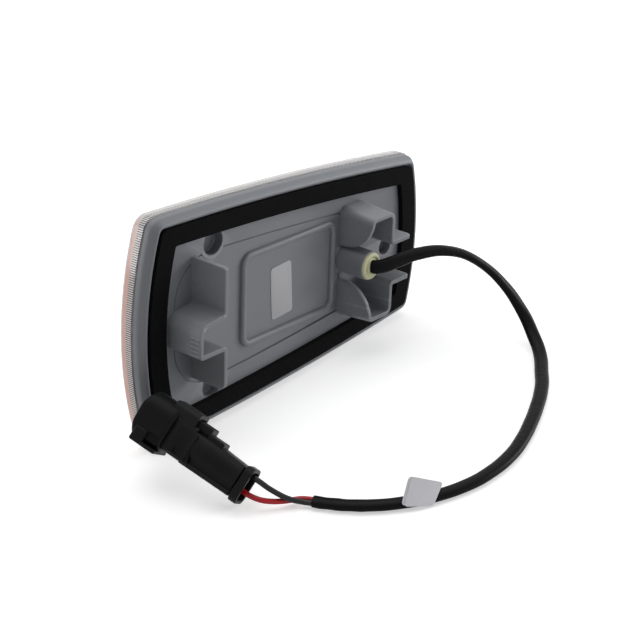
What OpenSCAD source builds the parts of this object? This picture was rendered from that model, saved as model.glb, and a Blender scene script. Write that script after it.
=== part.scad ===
// Side repeater lamp with foam gasket, snap clips and a short lead with a sealed plug.
// The lamp stands on its lower edge: lens towards +Y, gasket and clips towards -Y, +Z up.
// Lamp pieces are drawn in the lamp's own frame, whose origin is the centre of the label bead
// on the back floor (y = 0), and are then turned by rest_tilt onto the lower edge.

/* [Outline] */
// Length over the bowed ends
lamp_len = 135.2; // [125:0.2:150]
// Height at the taller end, between the corners
tall_end_h = 75; // [66:0.5:82]
// Height at the shorter end, between the corners
short_end_h = 57; // [50:0.5:62]
// Bow of the taller end
tall_end_bow = 6.5; // [4:0.5:8]
// Bow of the shorter end
short_end_bow = 4; // [3:0.5:6]
// Bow of the long edges
long_bow = 1.6; // [1:0.2:3]
// Corner radius of the outline
corner_r = 5; // [4:0.5:7]

/* [Housing] */
// Thickness of the back plate
plate_t = 2; // [1.6:0.1:2.6]
// Depth of the outer flange from the back floor
flange_depth = 2.6; // [2.2:0.1:3.4]
// Width of the rounded lip round the gasket
lip_w = 3.5; // [3:0.1:4.5]
// Rise of the lip behind the back floor
lip_rise = 1.6; // [1.2:0.1:2]
// Rise of the gasket land over the sunk panel
land_rise = 0.3; // [0.2:0.1:0.5]
// Length of the label bead between its centre lines
bead_len = 43.2; // [38:0.2:48]
// Height of the label bead between its centre lines
bead_h = 29.8; // [26:0.2:32]
// Width of the bead
bead_w = 2.2; // [1.6:0.1:2.6]
// Rise of the bead
bead_rise = 1.4; // [1:0.1:1.8]

/* [Clips] */
// Wall of the snap clips
clip_t = 1.5; // [1.3:0.1:1.8]
// Reach of the clips behind the back floor
clip_reach = 13.8; // [12:0.2:16]

/* [Cable boss] */
// Outer diameter of the cable boss
boss_d = 9.8; // [9.2:0.1:11]
// Bore of the cable boss
boss_bore = 7; // [6.6:0.1:7.6]
// Reach of the boss behind the back floor
boss_reach = 11.2; // [9:0.2:12]
// Length of the grommet head past the boss
grommet_head = 0.8; // [0.6:0.2:2]

/* [Gasket] */
// Width of the foam gasket along the long edges
gasket_w = 5.7; // [5.2:0.1:6.4]
// Width of the foam gasket at both ends
gasket_end_w = 6.7; // [6:0.1:7.4]
// Thickness of the foam gasket
gasket_t = 1.8; // [1.6:0.1:2.4]

/* [Lens] */
// Wall of the outer lens
lens_t = 2; // [1.6:0.1:2.4]
// Step of the lens wall inside the flange edge
lens_step = 0.4; // [0.2:0.1:0.8]
// Depth from the back floor at which the lens shoulder starts
shoulder_y = 4.6; // [4.2:0.1:6]
// Radius of the lens shoulder
shoulder_r = 3; // [2.4:0.2:3.6]
// Depth of the lens crown past the shoulder
crown_h = 5.2; // [4.6:0.2:8]
// Wall of the amber inner lens
amber_t = 1.2; // [1:0.1:1.4]

/* [Circuit board] */
// Length of the board
board_len = 92; // [84:1:96]
// Height of the board
board_h = 34; // [30:1:36]
// Thickness of the board
board_t = 1.6; // [1.2:0.1:1.8]
// Gap between the back plate and the board
board_gap = 1.2; // [1:0.1:1.4]
// Number of light-emitting diodes
led_count = 6; // [4:1:7]
// Side of one light-emitting diode
led_size = 3.5; // [3:0.1:4]
// Thickness of the reflector plate
reflector_t = 1.2; // [1:0.1:1.4]

/* [Lead] */
// Width of the flat twin sleeve
sleeve_w = 4.6; // [4:0.1:5]
// Thickness of the flat twin sleeve
sleeve_t = 2.9; // [2.6:0.1:3.2]
// Outer diameter of one wire
wire_d = 1.7; // [1.4:0.1:1.9]

/* [Plug] */
// Length of the plug body
plug_len = 39.2; // [37:0.2:42]
// Width of the plug hood
hood_w = 15.8; // [15:0.1:17]
// Thickness of the plug hood
hood_t = 13; // [12:0.1:14]
// Depth of the open hood
hood_depth = 13; // [11:0.5:14]
// Wall of the hood
hood_wall = 1.4; // [1.2:0.1:1.6]
// Width of the slim rear body
rear_w = 10.8; // [10:0.1:11.4]
// Thickness of the slim rear body
rear_t = 8.6; // [8:0.1:9.2]
// Spacing of the two contacts
contact_pitch = 5; // [4.6:0.1:5.4]

/* [Hidden] */
$fn = 48;
fit_gap = 0.2;
cut = 1;

// Corner points of the outline, anticlockwise from the lower tall-end corner, as x and z
tall_x = -lamp_len / 2 + tall_end_bow;
short_x = lamp_len / 2 - short_end_bow;
corners = [
    [tall_x, -tall_end_h / 2],
    [short_x, -short_end_h / 2],
    [short_x, short_end_h / 2],
    [tall_x, tall_end_h / 2]];
bows = [long_bow, short_end_bow, long_bow, tall_end_bow];
BOTTOM = 0;
SHORT = 1;
TALL = 3;

function bow_radius(i) = let(c = norm(corners[(i + 1) % 4] - corners[i])) (c * c / 4 + bows[i] * bows[i]) / (2 * bows[i]);
function bow_centre(i) =
    let(p = corners[i], q = corners[(i + 1) % 4], d = (q - p) / norm(q - p))
    (p + q) / 2 - [d[1], -d[0]] * (bow_radius(i) - bows[i]);

// Inset of edge i, where inset is one value or a list of four
function inset_at(inset, i) = is_list(inset) ? inset[i] : inset;
// Centre of the fillet between edge i and the next edge, for an outline moved in by inset
function fillet_centre(i, inset, r) =
    let(
        j = (i + 1) % 4,
        a = bow_centre(i),
        b = bow_centre(j),
        ra = bow_radius(i) - inset_at(inset, i) - r,
        rb = bow_radius(j) - inset_at(inset, j) - r,
        gap = norm(b - a),
        u = (b - a) / gap,
        along = (ra * ra - rb * rb + gap * gap) / (2 * gap),
        side = sqrt(ra * ra - along * along),
        p = a + along * u + side * [-u[1], u[0]],
        q = a + along * u - side * [-u[1], u[0]])
    norm(p - corners[j]) < norm(q - corners[j]) ? p : q;
function heading(v) = atan2(v[1], v[0]);
function turn_to(from, to) = from + ((to - from) % 360 + 540) % 360 - 180;
function arc_points(centre, r, from, to, steps) =
    let(end = turn_to(from, to))
    [for (s = [0:steps]) let(a = from + (end - from) * s / steps) centre + r * [cos(a), sin(a)]];
edge_steps = [14, 10, 14, 12];
fillet_steps = 5;
function edge_points(i, inset, r) =
    let(c = bow_centre(i), before = fillet_centre((i + 3) % 4, inset, r), after = fillet_centre(i, inset, r))
    arc_points(c, bow_radius(i) - inset_at(inset, i), heading(before - c), heading(after - c), edge_steps[i]);
function fillet_points(i, inset, r) =
    let(
        f = fillet_centre(i, inset, r),
        pts = arc_points(f, r, heading(f - bow_centre(i)), heading(f - bow_centre((i + 1) % 4)), fillet_steps))
    [for (s = [1:fillet_steps - 1]) pts[s]];
function outline_points(inset, r) =
    [for (i = [0:3]) each concat(edge_points(i, inset, r), fillet_points(i, inset, r))];
module outline(inset = 0, r = corner_r) polygon(outline_points(inset, r));

// Resting pose: the middle of the lower edge touches the ground, the box is centred over the origin
rest_tilt = atan((tall_end_h - short_end_h) / 2 / (short_x - tall_x));
function rested(p) = [p[0] * cos(rest_tilt) + p[1] * sin(rest_tilt), p[1] * cos(rest_tilt) - p[0] * sin(rest_tilt)];
lift = bow_radius(BOTTOM) - rested(bow_centre(BOTTOM))[1];
left_end = rested(bow_centre(TALL))[0] - bow_radius(TALL);
right_end = rested(bow_centre(SHORT))[0] + bow_radius(SHORT);
front_y = shoulder_y + shoulder_r + crown_h;
stand = [-(left_end + right_end) / 2, (clip_reach - front_y) / 2, 0];
module lamp_pose() translate(stand + [0, 0, lift]) rotate([0, rest_tilt, 0]) children();
module slab(y0, y1) translate([0, y1, 0]) rotate([90, 0, 0]) linear_extrude(y1 - y0) children();
module post(x, z, y0, y1, d) translate([x, y1, z]) rotate([90, 0, 0]) cylinder(d = d, h = y1 - y0);

// Housing levels and places; the lip's profile pairs an inset with a share of its rise
lip_profile = [[0.1, 0.35], [0.4, 0.6], [1.1, 0.88], [2.2, 1]];
side_rise = 0.25;
land_y = -land_rise;
gasket_back_y = land_y - gasket_t;
gasket_inset = lip_w + fit_gap;
gasket_r = 2.2;
gasket_inner_r = 0.8;
panel_inset = 15;
panel_end_x = 26;
panel_r = 15;
pockets = [[-35.4, 23.8, 8.4], [-35.4, -23.8, 8.4], [49.9, -1.2, 6.2]];
pocket_depth = 2.6;
pocket_wall = 1.2;
pocket_floor = 0.9;
boss_at = [28.4, 0.8];
bead_r = 3.2;

// Clip walls as x and z points
tall_fin_x = -43.7;
tall_fin = [21.6, 6.2, -4.5, -18.3];
tall_jog_x = -54.2;
short_web_x = 26.2;
short_fin_x = 36.7;
short_tab_x = 46.1;
short_z = [18.7, 7.1];
clip_end_r = 1.4;
clip_root = 1;
jog_r = 1.8;
jog_turn = 1.3;
clip_rib_count = 5;
clip_rib_d = 0.7;
clip_rib_spacing = 1.4;
clip_rib_ends = [0.8, 6.4];
web_edge_angle = 70;
web_edge_step = 10;
web_overlap = 1.2;

// Lens, amber lens and what stands behind them
weld_y = flange_depth;
weld_inset = 1.1;
weld_w = 0.8;
weld_depth = 0.7;
weld_play = 0.05;
weld_root = 0.1;
lens_r = corner_r - lens_step;
shoulder_steps = [0, 30, 60, 90];
crown_steps = [0.18, 0.4, 0.65, 1];
crown_half_w = 5;
crown_inset = short_end_h / 2 - crown_half_w;
amber_inset = lens_step + lens_t + 1;
amber_drop = lens_t + 0.6;
board_y = plate_t + board_gap;
board_front = board_y + board_t;
board_x = -3;
board_r = 3;
peg_d = 2.2;
peg_shoulder_d = 4.4;
peg_head_d = 3.6;
peg_head_t = 0.7;
peg_inset = 4;
peg_overlap = 0.5;
peg_play = 0.1;
led_t = 1.4;
led_spacing = 11.6;
led_wire_gap = 7.4;
led_last_x = boss_at[0] - led_wire_gap;
led_first_x = led_last_x - led_spacing * (led_count - 1);
led_lens_d = 2.6;
led_lens_rise = 0.3;
reflector_margin = [3, 7];
reflector_len = board_len - 2 * reflector_margin[0];
reflector_h = board_h - 2 * reflector_margin[1];
bowl_d = 8.4;
bowl_rise = 1;
bowl_wall = 0.9;
resistor_size = [6.3, 0.6, 3.2];
resistor_z = -13.6;
resistor_spacing = 9;
resistor_count = 4;
diode_size = [4.6, 2, 2.6];
diode_x = 22;
grommet_y = -boss_reach - grommet_head;
grommet_step = 0.3;
inner_wire_d = 1.5;
inner_wire_z = 1.2;
solder_rise = 0.4;
solder_d = 3;
label_size = [10, 18];
label_at = [-3, -1.6];
label_turn = 4;
label_t = 0.2;

// Plug: its own frame has +Y from the wires to the hood mouth, z across its width
plug_rear = [-66, -42, 6.95];
plug_yaw = 10.8;
plug_pitch = 21.7;
plug_roll = 36;
collar_len = 2.6;
collar_w = 11.6;
collar_t = 9.4;
collar_z = -0.8;
collar_recess = 1.6;
collar_wall = 1.2;
collar_r = 2.4;
recess_r = 1.2;
collar_notch = [4, 1.8];
mid_y = 19;
mid_end_y = 27.4;
mid_w = 12.2;
mid_t = 10.8;
mid_r = 1.8;
mid_z = 0.3;
hood_r = 5.4;
hood_z = 0.5;
ear_y = 32.4;
ear_z = -5.2;
ear_w = 4.4;
tab_len = 2.6;
rear_z = -0.4;
ear_r = 0.8;
rear_r = 2.6;
rib_w = 6;
rib_rise = 0.8;
rib_r = 2;
rail_w = 6.4;
rail_r = 0.4;
rail_ends = [[16.9, 2.8], [11.8, 1.1]];
bridge_y = 3;
bridge_sink = 0.6;
bridge_r = [1.6, 1];
bridge_len = 8.6;
bridge_w = 9.6;
bridge_t = 1.3;
bridge_rise = 2.4;
lock_len = 7.2;
lock_w = 9.2;
lock_t = 1.1;
lock_y = 0.5;
dimple = [1.6, 1.2, 0.6];
dimple_at = [3.2, -3.2];
contact_d = 1.5;
contact_step_y = 5;
contact_reach = 8.5;
seal_d = 3.8;
seal_t = 2;
wire_lead_out = 1.5;
terminal_lap = 0.1;
mouth_w = hood_w - 2 * hood_wall;
mouth_t = hood_t - 2 * hood_wall;
mouth_floor_y = plug_len - hood_depth;

// Lead: chosen points of the lead as it lies, from the boss to the plug
sleeve_route = [
    [28.4, -12, 33.3], [29.3, -13.5, 33.3], [32.2, -15.2, 33.5], [36.4, -16.5, 33.9], [43, -18.6, 34.4],
    [52, -22.4, 33.6], [59.8, -26.8, 30.4], [66.2, -32, 24.2], [69.6, -37.6, 17.2], [70, -43.8, 10.2],
    [67, -50.6, 4.4], [61.4, -57, 2], [53.6, -62.8, 1.5], [45.6, -68.4, 1.5], [37.4, -73, 1.5],
    [29, -77, 1.5], [20, -80.8, 1.5], [11, -84, 1.5], [2, -86.2, 1.5], [-7.6, -87, 1.5],
    [-16.6, -86.4, 1.5], [-25, -84.2, 1.5], [-33.2, -80.6, 1.5], [-40.6, -75.6, 1.5], [-46.6, -69.8, 1.5],
    [-51.4, -63, 1.5], [-54.6, -56.4, 1.5]];
sleeve_end = sleeve_route[len(sleeve_route) - 1];
sleeve_end_dir = (sleeve_end - sleeve_route[len(sleeve_route) - 2]) / norm(sleeve_end - sleeve_route[len(sleeve_route) - 2]);
sleeve_sides = 10;
sleeve_twist = 90;
twist_points = 6;
wire_sides = 8;
wire_side_step = 1.1;
black_middle = [[-62.8, -47.4, 6], [-59.8, -51.2, 3], [-57, -54.2, 1.7]];
red_middle = [[-66, -46.4, 3.6], [-62.6, -48.8, 2.4], [-58.8, -50.6, 1.6], [-55.6, -52.6, 1.4]];
flag_at = 22;
flag_size = [11, 9.6];
flag_t = 0.3;
flag_lean = 20;
flag_drop = 1;

// Points of a wall of thickness t along a path, mitred at its corners
function wall_dir(path, i) = (path[i + 1] - path[i]) / norm(path[i + 1] - path[i]);
function wall_mitre(path, i) =
    let(
        last = len(path) - 1,
        a = wall_dir(path, max(i - 1, 0)),
        b = wall_dir(path, min(i, last - 1)),
        n = [-a[1] - b[1], a[0] + b[0]])
    n / (n * [-a[1], a[0]]);
function wall_points(path, t) =
    let(last = len(path) - 1)
    concat(
        [for (i = [0:last]) path[i] + wall_mitre(path, i) * t / 2],
        [for (i = [0:last]) path[last - i] - wall_mitre(path, last - i) * t / 2]);
// Points of a rounded rectangle
function round_rect(w, h, r) =
    [for (c = [[1, 1, 0], [-1, 1, 90], [-1, -1, 180], [1, -1, 270]], s = [0:4])
        [c[0] * (w / 2 - r), c[1] * (h / 2 - r)] + r * [cos(c[2] + s * 22.5), sin(c[2] + s * 22.5)]];

// Rear housing
module lip_body() {
    slab(-lip_rise * side_rise, flange_depth) outline();
    hull() for (p = lip_profile)
        slab(-lip_rise * p[1], plate_t / 2) outline(inset = p[0]);
}
module plate_shell() {
    difference() {
        lip_body();
        slab(-lip_rise - cut, land_y) outline(lip_w, gasket_r);
        slab(plate_t, flange_depth + cut) outline(amber_inset - fit_gap, gasket_r);
        slab(weld_y - weld_depth, weld_y + cut) weld_ring(fit_gap / 2);
        slab(land_y - cut, 0) sunk_panel();
    }
}
module sunk_panel() {
    intersection() {
        outline(panel_inset, panel_r);
        translate([panel_end_x - lamp_len, -tall_end_h]) square([lamp_len, 2 * tall_end_h]);
    }
}
module weld_ring(gap = 0) {
    difference() {
        outline(weld_inset - gap, lens_r);
        outline(weld_inset + weld_w + gap, corner_r - weld_inset - weld_w);
    }
}
module label_bead() {
    slab(-bead_rise, cut / 2) difference() {
        polygon(round_rect(bead_len + bead_w, bead_h + bead_w, bead_r + bead_w / 2));
        polygon(round_rect(bead_len - bead_w, bead_h - bead_w, bead_r - bead_w / 2));
    }
}
// Side view of a clip: z range, reach, with its free corners rounded
module clip_side(z0, z1) {
    translate([-lamp_len, 0, 0]) rotate([90, 0, 90]) linear_extrude(2 * lamp_len)
        polygon(concat(
            [[clip_root, z1], [clip_root, z0]],
            arc_points([-clip_reach + clip_end_r, z0 + clip_end_r], clip_end_r, -90, -180, 4),
            arc_points([-clip_reach + clip_end_r, z1 - clip_end_r], clip_end_r, 180, 90, 4)));
}
module tall_end_clip() {
    bend = arc_points([tall_fin_x - jog_r, tall_fin[1] + jog_r], jog_r, 0, -90, clip_rib_count);
    path = concat([[tall_fin_x, tall_fin[0]]], bend,
        [[tall_jog_x, tall_fin[1] - jog_turn], [tall_jog_x, tall_fin[2]], [tall_fin_x, tall_fin[2]]]);
    intersection() {
        slab(-clip_reach, clip_root) union() {
            polygon(wall_points(path, clip_t));
            translate([tall_fin_x - clip_t / 2, tall_fin[3]])
                square([clip_t, tall_fin[2] - tall_fin[3] + clip_t / 2]);
        }
        clip_side(tall_fin[3], tall_fin[0]);
    }
    for (i = [0:clip_rib_count - 1])
        post(tall_jog_x - clip_t / 2, tall_fin[2] + clip_rib_ends[0] + i * clip_rib_spacing,
            -clip_reach + clip_rib_ends[0], -clip_reach + clip_rib_ends[1], clip_rib_d);
}
module short_end_clip() {
    intersection() {
        slab(-clip_reach, clip_root) polygon(wall_points([
            [short_web_x, short_z[0]], [short_fin_x, short_z[0]], [short_fin_x, short_z[1]],
            [short_tab_x, short_z[1]]], clip_t));
        clip_side(short_z[1] - clip_t / 2, short_z[0] + clip_t / 2);
    }
    web_z = short_z[0] + clip_t / 2;
    web_r = web_z - short_z[1] + web_overlap;
    web_reach = clip_reach - clip_root;
    translate([short_web_x - clip_t / 2, 0, 0]) rotate([90, 0, 90]) linear_extrude(clip_t)
        polygon(concat(
            [[clip_root, web_z], [clip_root, web_z - web_r]],
            [for (a = [0:web_edge_step:web_edge_angle])
                [-web_reach * sin(a) / sin(web_edge_angle), web_z - web_r * cos(a)]],
            [[-web_reach, web_z]]));
}
module peg_places() {
    for (x = [-1, 1], z = [-1, 1])
        translate([board_x + x * (board_len / 2 - peg_inset), 0, z * (board_h / 2 - peg_inset)]) children();
}
module board_peg() {
    post(0, 0, plate_t - peg_overlap, board_y, peg_shoulder_d);
    post(0, 0, board_y - peg_overlap, board_front + peg_play, peg_d);
    post(0, 0, board_front, board_front + peg_head_t, peg_head_d);
}
module rear_housing() {
    color([0.48, 0.49, 0.51]) lamp_pose() difference() {
        union() {
            plate_shell();
            label_bead();
            tall_end_clip();
            short_end_clip();
            mirror([0, 0, 1]) short_end_clip();
            post(boss_at[0], boss_at[1], -boss_reach, clip_root, boss_d);
            peg_places() board_peg();
            for (p = pockets)
                post(p[0], p[1], plate_t / 2, pocket_depth + pocket_floor, p[2] + 2 * pocket_wall);
        }
        post(boss_at[0], boss_at[1], -boss_reach - cut, plate_t + cut, boss_bore);
        for (p = pockets)
            post(p[0], p[1], land_y - cut, pocket_depth, p[2]);
    }
}

module foam_gasket() {
    inner = [for (w = [gasket_w, gasket_end_w, gasket_w, gasket_end_w]) gasket_inset + w];
    color([0.07, 0.07, 0.07]) lamp_pose() slab(gasket_back_y, land_y) difference() {
        outline(gasket_inset, gasket_r);
        outline(inner, gasket_inner_r);
    }
}

// Dome over the outline: a shoulder, then a crown that flattens towards the middle
function shoulder_slice(a) = [shoulder_r * (1 - cos(a)), shoulder_y + shoulder_r * sin(a), 0];
function crown_slice(u) = [
    shoulder_r + (crown_inset - shoulder_r) * u, shoulder_y + shoulder_r + crown_h * (1 - (1 - u) * (1 - u)), u];
dome_slices = concat([for (a = shoulder_steps) shoulder_slice(a)], [for (u = crown_steps) crown_slice(u)]);
module dome(foot_y, inset, drop) {
    hull() for (s = dome_slices)
        slab(foot_y, s[1] - drop)
            outline(s[0] + inset * (1 - s[2]) + s[2] * lens_step, lens_r - inset / 2);
}
module outer_lens() {
    color([0.93, 0.82, 0.76, 0.6]) lamp_pose() {
        difference() {
            dome(weld_y, lens_step, 0);
            dome(weld_y - cut, lens_step + lens_t, lens_t);
        }
        slab(weld_y - weld_depth + weld_play, weld_y + weld_root) weld_ring();
    }
}
module amber_inner_lens() {
    color([0.95, 0.55, 0.3, 0.7]) lamp_pose() difference() {
        dome(plate_t, amber_inset, amber_drop);
        dome(plate_t - cut, amber_inset + amber_t, amber_drop + amber_t);
    }
}

// Circuit board and what stands on it
module board_outline() polygon(round_rect(board_len, board_h, board_r));
module circuit_board() {
    color([0.2, 0.42, 0.28]) lamp_pose() difference() {
        slab(board_y, board_front) translate([board_x, 0]) board_outline();
        peg_places() post(0, 0, board_y - cut, board_front + cut, peg_d);
        inner_wire_places() post(0, 0, board_y - cut, board_front + cut, inner_wire_d);
    }
}
function led_x(i) = led_first_x + led_spacing * (i - 1);
module led(i) {
    color([0.95, 0.93, 0.85]) lamp_pose() translate([led_x(i), 0, 0]) {
        slab(board_front, board_front + led_t) square(led_size, center = true);
        post(0, 0, board_front, board_front + led_t + led_lens_rise, led_lens_d);
    }
}
module reflector_plate() {
    front = board_front + reflector_t;
    color([0.88, 0.88, 0.9]) lamp_pose() difference() {
        union() {
            slab(board_front, front) translate([board_x, 0])
                polygon(round_rect(reflector_len, reflector_h, board_r));
            for (i = [1:led_count])
                post(led_x(i), 0, board_front, front + bowl_rise, bowl_d + 2 * bowl_wall);
        }
        for (i = [1:led_count]) translate([led_x(i), 0, 0]) {
            slab(board_front - cut, front + cut) square(led_size + 2 * fit_gap, center = true);
            translate([0, front + bowl_rise, 0]) rotate([90, 0, 0])
                cylinder(d1 = bowl_d, d2 = led_size + 3 * fit_gap, h = bowl_rise + reflector_t / 2);
        }
        inner_wire_places() post(0, 0, board_front - cut, front + bowl_rise + cut, solder_d + 2 * fit_gap);
    }
}
module resistor(i) {
    color([0.12, 0.12, 0.13]) lamp_pose()
        translate([board_x + resistor_spacing * (i - (resistor_count + 1) / 2), 0, resistor_z])
            slab(board_front, board_front + resistor_size[1]) square([resistor_size[0], resistor_size[2]], center = true);
}
module protection_diode() {
    color([0.1, 0.1, 0.1]) lamp_pose() translate([diode_x, 0, resistor_z])
        slab(board_front, board_front + diode_size[1]) square([diode_size[0], diode_size[2]], center = true);
}

// Lead inside the boss
module inner_wire_places() {
    for (z = [-1, 1])
        translate([boss_at[0], 0, boss_at[1] + z * inner_wire_z]) children();
}
module inner_wire(z, c) {
    color(c) lamp_pose() translate([boss_at[0], 0, boss_at[1] + z * inner_wire_z]) {
        post(0, 0, grommet_y, board_front + solder_rise, inner_wire_d);
    }
}
module cable_grommet() {
    color([0.72, 0.7, 0.5]) lamp_pose() difference() {
        union() {
            post(boss_at[0], boss_at[1], -boss_reach, plate_t, boss_bore);
            post(boss_at[0], boss_at[1], grommet_y, -boss_reach, boss_d - 2 * grommet_step);
        }
        inner_wire_places() post(0, 0, grommet_y - cut, plate_t + cut, inner_wire_d);
    }
}

// Swept tube through route points; the wide side of its section lies level past the twist at its start
function unit(v) = v / norm(v);
function tangent(route, i) =
    let(last = len(route) - 1)
    unit(route[min(i + 1, last)] - route[max(i - 1, 0)]);
function level_side(t) = unit(cross([0, 0, 1], t));
function tube_ring(route, i, w, h, sides, first_dir, last_dir, twist) =
    let(
        last = len(route) - 1,
        t = i == 0 ? first_dir : i == last ? last_dir : tangent(route, i),
        a = twist * max(0, 1 - i / twist_points),
        side = level_side(t) * cos(a) + cross(t, level_side(t)) * sin(a),
        up = cross(t, side))
    [for (k = [0:sides - 1]) route[i] + side * w / 2 * cos(360 * (k + 0.5) / sides) + up * h / 2 * sin(360 * (k + 0.5) / sides)];
module tube(route, w, h, sides, first_dir, last_dir, twist = 0) {
    last = len(route) - 1;
    polyhedron(
        points = [for (i = [0:last]) each tube_ring(route, i, w, h, sides, first_dir, last_dir, twist)],
        faces = concat(
            [[for (k = [0:sides - 1]) k]],
            [for (i = [0:last - 1], k = [0:sides - 1])
                let(a = i * sides + k, b = i * sides + (k + 1) % sides)
                [a, a + sides, b + sides, b]],
            [[for (k = [0:sides - 1]) (last + 1) * sides - 1 - k]]),
        convexity = 8);
}
module cable_sleeve() {
    color([0.08, 0.08, 0.09]) translate(stand)
        tube(sleeve_route, sleeve_w, sleeve_t, sleeve_sides, [0, -1, 0], sleeve_end_dir, sleeve_twist);
}

// Plug pose and the points that belong to it
function spin_x(p, a) = [p[0], p[1] * cos(a) - p[2] * sin(a), p[1] * sin(a) + p[2] * cos(a)];
function spin_y(p, a) = [p[0] * cos(a) + p[2] * sin(a), p[1], p[2] * cos(a) - p[0] * sin(a)];
function spin_z(p, a) = [p[0] * cos(a) - p[1] * sin(a), p[0] * sin(a) + p[1] * cos(a), p[2]];
function plug_turned(p) = spin_z(spin_x(spin_y(p, plug_roll), plug_pitch), plug_yaw);
function plug_point(p) = plug_rear + plug_turned(p);
module plug_pose() translate(stand + plug_rear) rotate([0, 0, plug_yaw]) rotate([plug_pitch, 0, 0])
    rotate([0, plug_roll, 0]) children();
module wire(side, middle, c) {
    start = plug_point([0, collar_recess, side * contact_pitch / 2]);
    out = plug_point([0, -wire_lead_out, side * contact_pitch / 2]);
    across = level_side(sleeve_end_dir) * wire_side_step;
    finish = sleeve_end + across * side;
    color(c) translate(stand)
        tube(concat([start, out], middle, [finish]), wire_d, wire_d, wire_sides, plug_turned([0, -1, 0]), -sleeve_end_dir);
}

// A block of the plug between two places along it, rounded in its section
module plug_block(y0, y1, t, w, r, z) translate([0, 0, z]) slab(y0, y1) polygon(round_rect(t, w, r));
module plug_body() {
    color([0.1, 0.1, 0.11]) plug_pose() difference() {
        union() {
            plug_block(0, collar_len, collar_t, collar_w, collar_r, collar_z);
            plug_block(collar_len - cut, mid_y + cut, rear_t, rear_w, rear_r, rear_z);
            translate([-rib_rise, 0, 0]) plug_block(collar_len, mid_y + cut, rear_t, rib_w, rib_r, rear_z);
            plug_block(mid_y, mid_end_y + cut, mid_t, mid_w, mid_r, mid_z);
            plug_block(mid_end_y, plug_len, hood_t, hood_w, hood_r, hood_z);
            plug_block(ear_y, plug_len, hood_t, ear_w, ear_r, ear_z);
            plug_block(mid_end_y - tab_len / 2, mid_end_y + tab_len / 2, mid_t, ear_w, ear_r, ear_z);
            for (r = rail_ends)
                plug_block(r[0], mid_end_y + cut, rail_w, 2 * r[1], rail_r, rear_z + rear_w / 2);
            lock_bridge();
        }
        plug_block(mouth_floor_y, plug_len + cut, mouth_t, mouth_w, hood_r - hood_wall, hood_z);
        plug_block(-cut, collar_recess, collar_t - 2 * collar_wall, collar_w - 2 * collar_wall, recess_r, collar_z);
        slab(-cut, collar_notch[1]) translate([-collar_t, -collar_notch[0] / 2]) square([collar_t, collar_notch[0]]);
        lock_slot();
        for (side = [-1, 1]) {
            contact_post(side, -cut, collar_recess + seal_t, seal_d);
            contact_post(side, 0, contact_step_y, wire_d);
            contact_post(side, 0, mouth_floor_y + cut, contact_d);
        }
    }
}
module contact_post(side, y0, y1, d) post(0, side * contact_pitch / 2, y0, y1, d);
module lock_bridge() {
    translate([0, mid_y + bridge_y, mid_z + mid_w / 2 - bridge_sink]) difference() {
        slab(0, bridge_len) polygon(round_rect(bridge_w, 2 * (bridge_rise + bridge_t), bridge_r[0]));
        slab(-cut, bridge_len + cut) polygon(round_rect(bridge_w - 2 * bridge_t, 2 * bridge_rise, bridge_r[1]));
    }
}
module lock_slot() {
    translate([-mid_t / 2, 0, 0]) slab(mid_y + lock_y, mid_y + lock_y + lock_len)
        square([2 * lock_t, lock_w], center = true);
}
module plug_lock() {
    color([0.13, 0.13, 0.14]) plug_pose() difference() {
        translate([-mid_t / 2 + lock_t / 2, 0, 0]) slab(mid_y + lock_y, mid_y + lock_y + lock_len)
            square([lock_t, lock_w], center = true);
        translate([-mid_t / 2, mid_y + dimple_at[0], dimple_at[1]]) slab(0, dimple[0])
            square([2 * dimple[2], dimple[1]], center = true);
    }
}
module wire_seal(side) {
    color([0.6, 0.25, 0.2]) plug_pose() difference() {
        contact_post(side, collar_recess, collar_recess + seal_t, seal_d);
        contact_post(side, 0, collar_len + seal_t, wire_d);
    }
}
module terminal(side) {
    color([0.8, 0.8, 0.82]) plug_pose() {
        contact_post(side, collar_recess, contact_step_y, wire_d);
        contact_post(side, contact_step_y - terminal_lap, mouth_floor_y + contact_reach, contact_d);
    }
}

// Labels
module date_label() {
    color([0.85, 0.85, 0.87]) lamp_pose() slab(-label_t, 0)
        translate(label_at) rotate(label_turn) square(label_size, center = true);
}
module flag_label() {
    along = tangent(sleeve_route, flag_at);
    color([0.85, 0.85, 0.87]) translate(stand + sleeve_route[flag_at]) rotate([0, 0, heading(along)])
        translate([0, sleeve_w / 2, 0]) rotate([flag_lean, 0, 0])
            translate([-flag_size[0] / 2, 0, -flag_drop]) cube([flag_size[0], flag_t, flag_size[1]]);
}

rear_housing();
foam_gasket();
outer_lens();
amber_inner_lens();
reflector_plate();
circuit_board();
for (i = [1:led_count])
    led(i);
for (i = [1:resistor_count])
    resistor(i);
protection_diode();
cable_grommet();
inner_wire(1, [0.08, 0.08, 0.08]);  // inner_wire_black
inner_wire(-1, [0.65, 0.08, 0.1]);  // inner_wire_red
cable_sleeve();
wire(1, black_middle, [0.08, 0.08, 0.08]);  // wire_black
wire(-1, red_middle, [0.65, 0.08, 0.1]);  // wire_red
plug_body();
plug_lock();
wire_seal(1);  // wire_seal_black
wire_seal(-1);  // wire_seal_red
terminal(1);  // terminal_black
terminal(-1);  // terminal_red
date_label();
flag_label();
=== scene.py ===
"""Side repeater lamp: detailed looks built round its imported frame."""

from math import atan, atan2, cos, hypot, pi, radians, sin, sqrt, tan

import bmesh
import bpy
from bpy.props import FloatProperty, FloatVectorProperty, PointerProperty
from mathutils import Matrix, Vector


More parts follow.
